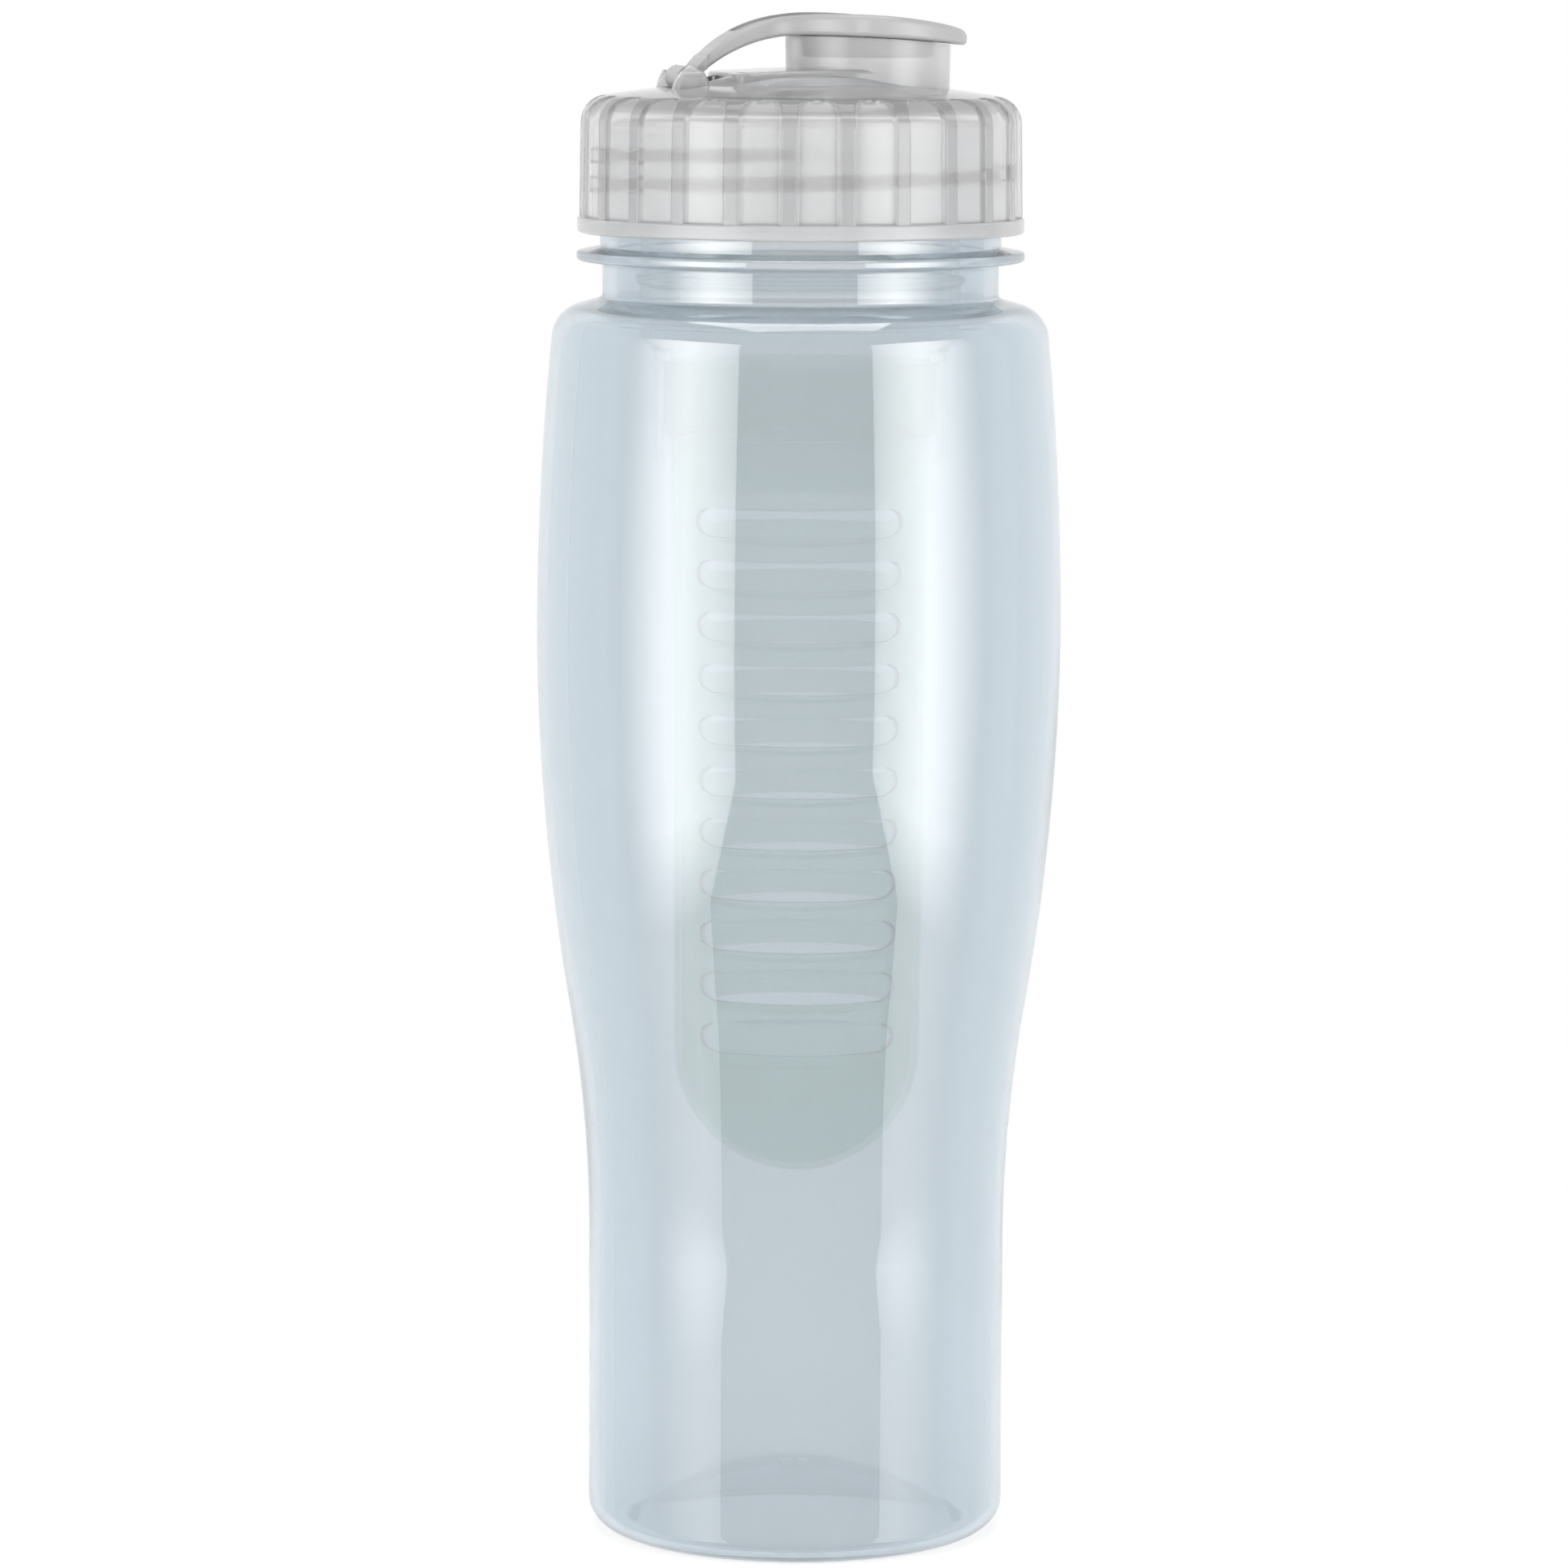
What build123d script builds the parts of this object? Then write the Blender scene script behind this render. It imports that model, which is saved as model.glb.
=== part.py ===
from build123d import *
from math import pi
import os

os.makedirs("parts", exist_ok=True)

# Fruit infuser water bottle. Millimetres, +Z up. The origin is the centre of the base, on the table.
# The spout stands over +X and the lid's hinge over -X. Closed lid, cap screwed home, basket pushed in.

# Bottle body
body_wall = 1.4
push_up = 8.5  # height of the dome under the base
push_up_radius = 26.0  # where that dome meets the standing ring
heel_round = 4.5
grip_radius = 32.25  # the straight lower part that a hand or a cup holder takes
grip_height = 45.7
belly_radius = 40.4
belly_height = 140.2
waist_share = 0.396  # share of the rise from grip to belly that the hollow arc takes
shoulder_radius = 37.75  # edge of the shoulder before rounding
shoulder_height = 189.45
shoulder_rise = 2.05  # from that edge up to the root of the neck
shoulder_round = 5.5

# Neck and its finish
neck_wall = 2.0
neck_radius = 30.4
neck_length = 5.6  # root of the neck to the underside of the bead
neck_root_round = 0.8
bead_radius = 34.37
bead_height = 2.2
bead_edge = 1.5  # thickness of the bead at its rounded edge
bead_round = 0.6
land_radius = 30.76  # plain band above the bead
land_height = 3.2
finish_radius = 30.2  # the wall that carries the thread
finish_height = 17.4  # top of the bead to the rim

# Seal
gasket_thickness = 1.5
gasket_inset = 0.4  # the gasket stays this far inside the rim
slip_gap = 0.35  # free space around pieces that only slide past each other

# Infuser collar
collar_radius = 24.5
collar_wall = 1.3
collar_flange = 1.6
collar_flange_inset = 1.0  # the flange ends this far inside the finish
collar_bead_drop = 25.4  # flange top down to the small bead
collar_bead_radius = 0.85
collar_shoulder_drop = 32.4  # flange top down to where the sleeve draws in
collar_shoulder_height = 3.8
collar_sleeve_radius = 22.65
collar_length = 52.8  # flange top down to the lower rim
collar_stop_drop = 37.8  # flange top down to the stop that the basket meets
collar_stop_height = 1.4
collar_stop_width = 1.4

# Infuser basket
basket_wall = 1.2
basket_head_length = 12.0
basket_head_bevel = 0.9  # height of the bevel under the head
basket_top_radius = 19.9
basket_foot_radius = 18.9
basket_length = 125.7  # top of the head to the tip of the domed end
basket_tip_radius = 5.0
basket_tip_drop = 0.5
slot_count = 11
slot_height = 4.3
slot_pitch = 7.91
slot_top_width = 30.2
slot_foot_width = 28.2
slot_first_drop = 24.0  # top of the head down to the middle of the first slot
slot_turn = -12.0  # degrees that the slots face away from the front

# Screw cap
cap_gap = 2.1  # top of the bead to the lower edge of the cap
thread_room = 1.7  # between the finish and the skirt
skirt_wall = 1.3  # measured behind the panels
rib_depth = 0.8
rib_width = 2.3
rib_count = 24
skirt_draft = 0.3  # the skirt is this much slimmer at the shoulder
cap_ring_height = 2.4
cap_ring_proud = 0.25
cap_round = 4.2
cap_corner_rise = 2.0  # ceiling up to the outer edge of the top before rounding
cap_inner_round = 2.4
arch_angle = 45.0  # degrees above the horizon that the arched panel ends face
arch_top = 2.9  # apex of the arch past the unrounded edge, seen that way
arch_rise = 4.6  # height of the arch, seen that way
crown_foot_radius = 19.2
crown_foot_rise = 4.0
crown_edge_radius = 12.4
crown_edge_rise = 5.69
crown_rise = 6.1
cap_lid_wall = 1.4  # ceiling of the cap inside the sealing land
sealing_land_width = 5.4
hollow_radius = 11.6
hollow_rise = 4.2

# Spout and the saddle that runs back from it
spout_offset = 10.4
spout_radius = 12.5
spout_flare = 0.2
spout_wall = 1.6
saddle_back = 12.5
saddle_back_rise = 6.0
saddle_front_rise = 6.7
saddle_round = 0.7
saddle_corner = 2.0

# Hinge
pin_offset = 18.4
pin_rise = 5.1  # ceiling up to the pin
pin_radius = 1.05
pin_fit = 0.08
barrel_radius = 1.9
ear_width = 5.6
ear_plate = 1.5  # inner plate of each ear, with the claw
ear_cheek = 1.9  # outer, lower part of each ear, which covers the end of the pin
ear_tip_rise = 2.0  # pin up to the tip of the claw
ear_post_rise = 1.15  # pin up to the top of the front post and of the cheek
ear_post_lead = 1.7  # top of the front post ahead of the pin
ear_throat = 1.7  # snap-in slot of the claw
ear_throat_angle = 62.0
ear_bulge_share = 0.9  # how far out the back of the ear is at half its height
ear_round = 0.7
well_back = 21.3
well_front = 12.5
well_wall = 1.5  # floor of the well to the ceiling inside

# Flip lid
strap_width = 9.4
strap_blend = 7.0
strap_foot_angle = 20.0  # where the strap's underside leaves the barrel
strap_top_angle = 55.0
disc_overhang = 2.6  # disc past the spout
lid_crest_offset = 0.5  # crest of the underside, behind the cap's axis
lid_rise = 6.7  # pin up to that crest
lid_droop = 1.95  # crest down to the underside at the end of its arc
lid_thickness = 3.2
lid_end_thickness = 1.95
lid_top_lead = 4.0  # crest of the top ahead of the crest of the underside
lid_bevel = 0.7  # along the lower edge of strap and disc
lid_recess = 0.45
lid_recess_margin = 1.3
lid_recess_start = 11.5  # back end of the recess, behind the cap's axis
lid_seat_gap = 0.2  # spout rim to the closed lid
plug_depth = 3.4
plug_wall = 1.1
plug_root = 0.4  # the plug's ring reaches this far up into the disc
plug_top_gap = 0.4
plug_foot_gap = 1.0
knee_run_share = 0.324  # where the strap starts to bend down, along its top
knee_drop_share = 0.045
steep_share = 0.8  # faces whose downward part is more than this count as the lid's underside

cut_margin = 2.0  # how far a cutting shape runs past what it cuts

# Heights and radii that follow from the sizes above
neck_root_height = shoulder_height + shoulder_rise
bead_bottom_height = neck_root_height + neck_length
bead_top_height = bead_bottom_height + bead_height
rim_height = bead_top_height + finish_height
neck_bore_radius = neck_radius - neck_wall
flange_bottom_height = rim_height + gasket_thickness
ceiling_height = flange_bottom_height + collar_flange
cap_bottom_height = bead_top_height + cap_gap
skirt_bore_radius = finish_radius + thread_room
panel_radius = skirt_bore_radius + skirt_wall
rib_radius = panel_radius + rib_depth
flange_radius = finish_radius - collar_flange_inset
spout_bore_radius = spout_radius - spout_wall
pin_height = ceiling_height + pin_rise
disc_radius = spout_radius + disc_overhang
lid_crest = (-lid_crest_offset, pin_height + lid_rise)
pin_place = (-pin_offset, pin_height)
lid_end_offset = spout_offset + disc_radius + cut_margin
basket_top_height = ceiling_height - collar_stop_drop
basket_head_radius = collar_sleeve_radius - collar_wall - slip_gap
basket_head_foot = basket_top_height - basket_head_length
basket_bevel_height = basket_head_foot + basket_head_bevel


def round_corners(section, places, radius):
    """Rounds the corners of a sketch that lie at these places."""
    corners = section.vertices()
    fillet([corners.sort_by_distance(place)[0] for place in places], radius)


def wall_outline(inset):
    """Draws the blown wall from the axis to the shoulder edge, this far inside the outer skin."""
    heel_middle = grip_radius - heel_round
    dome = TangentArc((0, push_up + inset), (push_up_radius - inset, inset), tangent=(1, 0))
    Line(dome @ 1, (heel_middle, inset))
    heel = TangentArc((heel_middle, inset), (grip_radius - inset, heel_round), tangent=(1, 0))
    grip = Line(heel @ 1, (grip_radius - inset, grip_height))
    turn_radius = grip_radius + waist_share * (belly_radius - grip_radius) - inset
    turn_height = grip_height + waist_share * (belly_height - grip_height)
    waist = TangentArc(grip @ 1, (turn_radius, turn_height), tangent=(0, 1))
    belly = TangentArc(waist @ 1, (belly_radius - inset, belly_height), tangent=waist % 1)
    return TangentArc(belly @ 1, (shoulder_radius - inset, shoulder_height - inset), tangent=(0, 1))


# Bottle body: one blown wall, revolved
bead_edge_height = bead_bottom_height + bead_edge
with BuildPart() as bottle_body:
    with BuildSketch(Plane.XZ) as body_section:
        with BuildLine():
            side = wall_outline(0)
            Polyline(
                side @ 1,
                (neck_radius, neck_root_height),
                (neck_radius, bead_bottom_height),
                (bead_radius, bead_bottom_height),
                (bead_radius, bead_edge_height),
                (land_radius, bead_top_height),
                (land_radius, bead_top_height + land_height),
                (finish_radius, bead_top_height + land_height),
                (finish_radius, rim_height),
                (0, rim_height),
                (0, push_up),
            )
        make_face()
        round_corners(body_section, [(shoulder_radius, shoulder_height)], shoulder_round)
        round_corners(body_section, [(neck_radius, neck_root_height)], neck_root_round)
        bead_corners = [(bead_radius, bead_bottom_height), (bead_radius, bead_edge_height)]
        round_corners(body_section, bead_corners, bead_round)
        with BuildLine():
            side = wall_outline(body_wall)
            Polyline(
                side @ 1,
                (neck_bore_radius, neck_root_height - body_wall),
                (neck_bore_radius, rim_height),
                (0, rim_height),
                (0, push_up + body_wall),
            )
        make_face(mode=Mode.SUBTRACT)
    revolve(axis=Axis.Z)
bottle_body.part.label = "bottle_body"
export_step(bottle_body.part, "parts/bottle_body.step")


# Gasket: a flat ring between the rim and the collar's flange
with BuildPart() as cap_gasket:
    with BuildSketch(Plane.XY.offset(rim_height)):
        Circle(finish_radius - gasket_inset)
        Circle(collar_radius + slip_gap, mode=Mode.SUBTRACT)
    extrude(amount=gasket_thickness)
cap_gasket.part.label = "cap_gasket"
export_step(cap_gasket.part, "parts/cap_gasket.step")


# Infuser collar: a flanged sleeve with a small bead, a drawn-in lower end and a stop inside
collar_bead_height = ceiling_height - collar_bead_drop
collar_shoulder_top = ceiling_height - collar_shoulder_drop
collar_shoulder_foot = collar_shoulder_top - collar_shoulder_height
collar_foot_height = ceiling_height - collar_length
stop_height = ceiling_height - collar_stop_drop
collar_bore = collar_radius - collar_wall
sleeve_bore = collar_sleeve_radius - collar_wall
with BuildPart() as infuser_collar:
    with BuildSketch(Plane.XZ) as collar_section:
        with BuildLine():
            Polyline(
                (collar_bore, ceiling_height),
                (flange_radius, ceiling_height),
                (flange_radius, flange_bottom_height),
                (collar_radius, flange_bottom_height),
                (collar_radius, collar_shoulder_top),
            )
            draw_in = Spline(
                (collar_radius, collar_shoulder_top),
                (collar_sleeve_radius, collar_shoulder_foot),
                tangents=[(0, -1), (0, -1)],
            )
            Polyline(
                draw_in @ 1,
                (collar_sleeve_radius, collar_foot_height),
                (sleeve_bore, collar_foot_height),
                (sleeve_bore, stop_height),
                (sleeve_bore - collar_stop_width, stop_height),
                (sleeve_bore - collar_stop_width, stop_height + collar_stop_height),
                (sleeve_bore, stop_height + collar_stop_height),
                (sleeve_bore, collar_shoulder_foot),
            )
            Spline(
                (sleeve_bore, collar_shoulder_foot),
                (collar_bore, collar_shoulder_top),
                tangents=[(0, 1), (0, 1)],
            )
            Line((collar_bore, collar_shoulder_top), (collar_bore, ceiling_height))
        make_face()
        with Locations((collar_radius, collar_bead_height)):
            Circle(collar_bead_radius)
    revolve(axis=Axis.Z)
infuser_collar.part.label = "infuser_collar"
export_step(infuser_collar.part, "parts/infuser_collar.step")


def basket_outline(inset):
    """Draws the cup from its head down to the tip, this far inside the outer skin."""
    tip_height = basket_top_height - basket_length
    dome_start = tip_height + basket_foot_radius
    shoulder = Line((basket_top_radius - inset, basket_head_foot), (basket_foot_radius - inset, dome_start))
    tip = (basket_tip_radius, tip_height + basket_tip_drop + inset)
    dome = TangentArc(shoulder @ 1, tip, tangent=(0, -1))
    return Line(dome @ 1, (0, tip_height + inset))


# Infuser basket: a slotted cup whose head pushes up into the collar
slot_plane = Plane.XZ.rotated((0, 0, slot_turn))
with BuildPart() as infuser_basket:
    with BuildSketch(Plane.XZ):
        with BuildLine():
            tip = basket_outline(0)
            Polyline(
                tip @ 1,
                (0, basket_top_height),
                (basket_head_radius, basket_top_height),
                (basket_head_radius, basket_bevel_height),
                (basket_top_radius, basket_head_foot),
            )
        make_face()
        with BuildLine():
            tip = basket_outline(basket_wall)
            Polyline(
                tip @ 1,
                (0, basket_top_height),
                (basket_head_radius - basket_wall, basket_top_height),
                (basket_head_radius - basket_wall, basket_bevel_height),
                (basket_top_radius - basket_wall, basket_head_foot),
            )
        make_face(mode=Mode.SUBTRACT)
    revolve(axis=Axis.Z)
    for slot in range(slot_count):
        slot_drop = slot_first_drop + slot * slot_pitch
        slot_share = slot / (slot_count - 1)
        slot_width = slot_top_width + slot_share * (slot_foot_width - slot_top_width)
        with BuildSketch(slot_plane):
            with Locations((0, basket_top_height - slot_drop)):
                SlotOverall(slot_width, slot_height)
        extrude(amount=basket_top_radius + cut_margin, both=True, mode=Mode.SUBTRACT)
infuser_basket.part.label = "infuser_basket"
export_step(infuser_basket.part, "parts/infuser_basket.step")


def cap_outline(inset):
    """Draws the skirt above its ring and the top, this far inside the outer skin, out to the axis."""
    skirt_foot = (rib_radius - inset, cap_ring_top)
    corner = (rib_radius - skirt_draft - inset, ceiling_height + cap_corner_rise - inset)
    crown_foot = (crown_foot_radius, ceiling_height + crown_foot_rise - inset)
    crown_edge = (crown_edge_radius, ceiling_height + crown_edge_rise - inset)
    slope = (crown_foot[0] - corner[0], crown_foot[1] - corner[1])
    FilletPolyline(skirt_foot, corner, crown_foot, radius=cap_round - inset)
    Spline(crown_foot, crown_edge, tangents=[slope, slope])
    TangentArc((0, ceiling_height + crown_rise - inset), crown_edge, tangent=(1, 0))


def strap_foot_point(drop):
    """Gives the place where the strap's underside meets the barrel, lowered by this much."""
    foot = Vector(*pin_place) + Vector(barrel_radius, 0).rotate(Axis.Z, strap_foot_angle)
    return (foot.X, foot.Y - drop)


def strap_root_point(drop):
    """Gives the place where the strap's top meets the barrel, lowered by this much."""
    root = Vector(*pin_place) + Vector(barrel_radius, 0).rotate(Axis.Z, strap_top_angle)
    return (root.X, root.Y - drop)


def lid_underside(drop):
    """Draws the underside of the lid from its front end to the barrel, lowered by this much."""
    crest = (lid_crest[0], lid_crest[1] - drop)
    TangentArc(crest, (lid_end_offset, crest[1] - lid_droop), tangent=(1, 0))
    TangentArc(crest, strap_foot_point(drop), tangent=(-1, 0))


def lid_top(drop):
    """Draws the top of the lid from its front end to the barrel, lowered by this much."""
    crest = (lid_crest[0] + lid_top_lead, lid_crest[1] + lid_thickness - drop)
    end = (lid_end_offset, lid_crest[1] - lid_droop + lid_end_thickness - drop)
    root = strap_root_point(drop)
    knee = (
        crest[0] + knee_run_share * (root[0] - crest[0]),
        crest[1] + knee_drop_share * (root[1] - crest[1]),
    )
    TangentArc(crest, end, tangent=(1, 0))
    flat = TangentArc(crest, knee, tangent=(-1, 0))
    TangentArc(knee, root, tangent=flat % 1)


def lid_plan(margin):
    """Fills the plan of the lid, strap and disc, this far inside its edge."""
    half_strap = strap_width / 2 - margin
    with Locations((spout_offset, 0)):
        Circle(disc_radius - margin)
        Rectangle(
            spout_offset + pin_offset + barrel_radius,
            2 * half_strap,
            align=(Align.MAX, Align.CENTER),
        )
    reach = ((disc_radius - margin) ** 2 - half_strap**2) ** 0.5
    return [(spout_offset - reach, half_strap), (spout_offset - reach, -half_strap)]


# One panel between two ribs: the skin of the cap, kept inside an arched window
cap_ring_top = cap_bottom_height + cap_ring_height
panel_width = panel_radius * 2 * pi / rib_count - rib_width
skirt_height = ceiling_height - cap_ring_top
arch_plane = Plane(
    origin=(rib_radius - skirt_draft, 0, ceiling_height + cap_corner_rise),
    x_dir=(0, 1, 0),
    z_dir=Vector(1, 0, 0).rotate(Axis.Y, -arch_angle),
)
with BuildPart() as panel:
    with BuildSketch(Plane.XZ):
        with BuildLine():
            cap_outline(0)
            Polyline((0, ceiling_height + crown_rise), (0, cap_ring_top), (rib_radius, cap_ring_top))
        make_face()
        with BuildLine():
            cap_outline(rib_depth)
            Polyline(
                (0, ceiling_height + crown_rise - rib_depth),
                (0, cap_ring_top),
                (rib_radius - rib_depth, cap_ring_top),
            )
        make_face(mode=Mode.SUBTRACT)
    revolve(axis=Axis.Z)
    with BuildSketch(arch_plane):
        with Locations((0, arch_top - arch_rise)):
            Ellipse(panel_width / 2, arch_rise)
            Rectangle(panel_width, 2 * skirt_height, align=(Align.CENTER, Align.MAX))
    extrude(amount=skirt_height, both=True, mode=Mode.INTERSECT)

# Saddle: the raised back of the spout, with a top that slopes down to the hinge
land_inner_radius = skirt_bore_radius - cap_inner_round - sealing_land_width
cap_lid_height = ceiling_height + cap_lid_wall
ear_foot_height = ceiling_height + crown_foot_rise - cap_lid_wall
saddle_top = ceiling_height + saddle_front_rise
with BuildPart() as saddle:
    with BuildSketch(Plane.XZ):
        with BuildLine():
            slope = TangentArc(
                (spout_offset, saddle_top),
                (-saddle_back, ceiling_height + saddle_back_rise),
                tangent=(-1, 0),
            )
            Polyline(
                slope @ 1,
                (-saddle_back, ear_foot_height),
                (spout_offset, ear_foot_height),
                slope @ 0,
            )
        make_face()
    extrude(amount=spout_radius, both=True)
    fillet(saddle.edges().filter_by(Axis.Z).group_by(Axis.X)[0], saddle_corner)
    fillet(saddle.faces().sort_by(Axis.Z)[-1].edges().sort_by(Axis.X)[:-1], saddle_round)

# One ear of the hinge: a claw that the pin snaps into, and a cheek that covers the pin's end
ear_face = strap_width / 2 + slip_gap
ear_claw_top = [
    (-pin_offset, pin_height + ear_tip_rise),
    (-pin_offset + ear_post_lead, pin_height + ear_post_rise),
]
ear_cheek_top = [
    (-pin_offset - ear_post_lead, pin_height + ear_post_rise),
    (-pin_offset + ear_post_lead, pin_height + ear_post_rise),
]


def ear_outline(top):
    """Draws an ear from the side, between its foot and the two ends of its top."""
    half_width = ear_width / 2
    bulge = ear_bulge_share * half_width
    bulge_height = (ear_foot_height + pin_height + ear_post_rise) / 2
    foot = Line((-pin_offset - half_width, ear_foot_height), (-pin_offset + half_width, ear_foot_height))
    ThreePointArc(foot @ 0, (-pin_offset - bulge, bulge_height), top[0])
    Line(top[0], top[1])
    ThreePointArc(top[1], (-pin_offset + bulge, bulge_height), foot @ 1)


with BuildPart() as ear:
    with BuildSketch(Plane.XZ.offset(ear_face)):
        with BuildLine():
            ear_outline(ear_claw_top)
        make_face()
        with Locations(pin_place):
            Circle(pin_radius + pin_fit, mode=Mode.SUBTRACT)
            Rectangle(
                ear_width,
                ear_throat,
                rotation=ear_throat_angle,
                align=(Align.MIN, Align.CENTER),
                mode=Mode.SUBTRACT,
            )
    extrude(amount=ear_plate)
    with BuildSketch(Plane.XZ.offset(ear_face + ear_plate)):
        with BuildLine():
            ear_outline(ear_cheek_top)
        make_face()
    extrude(amount=ear_cheek)
    fillet(ear.faces().sort_by(Axis.Y)[0].edges().sort_by(Axis.Z)[1:], ear_round)

# Screw cap: ribbed skirt, raised crown, spout, the well under the hinge and the two ears
spout_axis = Axis((spout_offset, 0, 0), (0, 0, 1))
with BuildPart() as screw_cap:
    with BuildSketch(Plane.XZ):
        with BuildLine():
            cap_outline(0)
            Polyline(
                (0, ceiling_height + crown_rise),
                (0, cap_bottom_height),
                (rib_radius + cap_ring_proud, cap_bottom_height),
                (rib_radius + cap_ring_proud, cap_ring_top),
                (rib_radius, cap_ring_top),
            )
        make_face()
    revolve(axis=Axis.Z)
    with PolarLocations(0, rib_count, start_angle=180 / rib_count):
        add(panel.part, mode=Mode.SUBTRACT)
    add(saddle.part)
    with BuildSketch(Plane.XZ):
        with BuildLine():
            Polyline(
                (spout_offset, ear_foot_height),
                (spout_offset + spout_radius, ear_foot_height),
                (spout_offset + spout_radius + spout_flare, lid_crest[1]),
                (spout_offset, lid_crest[1]),
                close=True,
            )
        make_face()
    revolve(axis=spout_axis)

    # Hollow inside: skirt, sealing land, ceiling and the pocket under the crown
    with BuildSketch(Plane.XZ) as cap_hollow:
        with BuildLine():
            Polyline(
                (0, cap_bottom_height),
                (skirt_bore_radius, cap_bottom_height),
                (skirt_bore_radius, ceiling_height),
                (land_inner_radius, ceiling_height),
                (land_inner_radius, cap_lid_height),
                (hollow_radius, cap_lid_height),
                (hollow_radius, ceiling_height + hollow_rise),
                (0, ceiling_height + hollow_rise),
                close=True,
            )
        make_face()
        round_corners(cap_hollow, [(skirt_bore_radius, ceiling_height)], cap_inner_round)
    revolve(axis=Axis.Z, mode=Mode.SUBTRACT)
    with BuildSketch(Plane.XY.offset(ceiling_height)):
        with Locations((spout_offset, 0)):
            Circle(spout_bore_radius)
    extrude(amount=pin_rise + lid_rise + cut_margin, mode=Mode.SUBTRACT)

    # The spout's rim follows the underside of the closed lid
    with BuildSketch(Plane.XZ):
        with BuildLine():
            lid_underside(lid_seat_gap)
            Polyline(
                strap_foot_point(lid_seat_gap),
                (strap_foot_point(lid_seat_gap)[0], lid_crest[1] + cut_margin),
                (lid_end_offset, lid_crest[1] + cut_margin),
                (lid_end_offset, lid_crest[1] - lid_seat_gap - lid_droop),
            )
        make_face()
    extrude(amount=disc_radius, both=True, mode=Mode.SUBTRACT)

    add(ear.part)
    mirror(ear.part, about=Plane.XZ)
    with BuildSketch(Plane.XY.offset(cap_lid_height + well_wall)):
        with Locations((-well_front, 0)):
            Rectangle(well_back - well_front, 2 * ear_face, align=(Align.MAX, Align.CENTER))
    extrude(amount=saddle_front_rise, mode=Mode.SUBTRACT)
screw_cap.part.label = "screw_cap"
export_step(screw_cap.part, "parts/screw_cap.step")

# The shallow recess in the top of the lid, inside a narrow rim
with BuildPart() as lid_top_recess:
    with BuildSketch(Plane.XZ):
        with BuildLine():
            lid_top(lid_recess)
            Polyline(
                strap_root_point(lid_recess),
                (strap_root_point(lid_recess)[0], lid_crest[1] + 2 * lid_thickness),
                (lid_end_offset, lid_crest[1] + 2 * lid_thickness),
                (lid_end_offset, lid_crest[1] - lid_droop + lid_end_thickness - lid_recess),
            )
        make_face()
    extrude(amount=disc_radius, both=True)
    with BuildSketch(Plane.XY.offset(pin_height)) as recess_plan:
        junctions = lid_plan(lid_recess_margin)
        with Locations((-lid_recess_start, 0)):
            Rectangle(pin_offset, strap_width, align=(Align.MAX, Align.CENTER), mode=Mode.SUBTRACT)
        round_corners(recess_plan, junctions, strap_blend + lid_recess_margin)
    extrude(amount=2 * (lid_rise + lid_thickness), mode=Mode.INTERSECT)

# Flip lid: arched strap and disc, hinge barrel with its pin, and the plug ring under the disc
pin_length = 2 * (ear_face + ear_plate) - slip_gap
with BuildPart() as flip_lid:
    with BuildSketch(Plane.XZ):
        with BuildLine():
            lid_underside(0)
            lid_top(0)
            Polyline(strap_foot_point(0), pin_place, strap_root_point(0))
            Line(
                (lid_end_offset, lid_crest[1] - lid_droop),
                (lid_end_offset, lid_crest[1] - lid_droop + lid_end_thickness),
            )
        make_face()
    extrude(amount=disc_radius + cut_margin, both=True)
    with BuildSketch(Plane.XY.offset(pin_height - barrel_radius)) as lid_shape:
        junctions = lid_plan(0)
        round_corners(lid_shape, junctions, strap_blend)
    extrude(amount=2 * (lid_rise + lid_thickness), mode=Mode.INTERSECT)
    under_faces = flip_lid.faces().filter_by(lambda face: face.normal_at().Z < -steep_share)
    chamfer(under_faces.edges().filter_by(Axis.Y, reverse=True), lid_bevel)
    add(lid_top_recess.part, mode=Mode.SUBTRACT)
    with BuildSketch(Plane.XZ):
        with Locations(pin_place):
            Circle(barrel_radius)
    extrude(amount=strap_width / 2, both=True)
    with BuildSketch(Plane.XZ):
        with Locations(pin_place):
            Circle(pin_radius)
    extrude(amount=pin_length / 2, both=True)
    plug_top = lid_crest[1] + plug_root
    plug_foot = lid_crest[1] - plug_depth
    plug_top_radius = spout_bore_radius - plug_top_gap
    plug_foot_radius = spout_bore_radius - plug_foot_gap
    with BuildSketch(Plane.XZ):
        with BuildLine():
            Polyline(
                (spout_offset + plug_top_radius, plug_top),
                (spout_offset + plug_foot_radius, plug_foot),
                (spout_offset + plug_foot_radius - plug_wall, plug_foot),
                (spout_offset + plug_top_radius - plug_wall, plug_top),
                close=True,
            )
        make_face()
    revolve(axis=spout_axis)
flip_lid.part.label = "flip_lid"
export_step(flip_lid.part, "parts/flip_lid.step")
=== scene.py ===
"""Fruit infuser water bottle: the dressed model, its studio and its camera."""

import logging
import math
from collections.abc import Callable, Sequence
from dataclasses import dataclass, field
from enum import Enum

import bmesh
import bpy
from mathutils import Euler, Matrix, Vector


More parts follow.
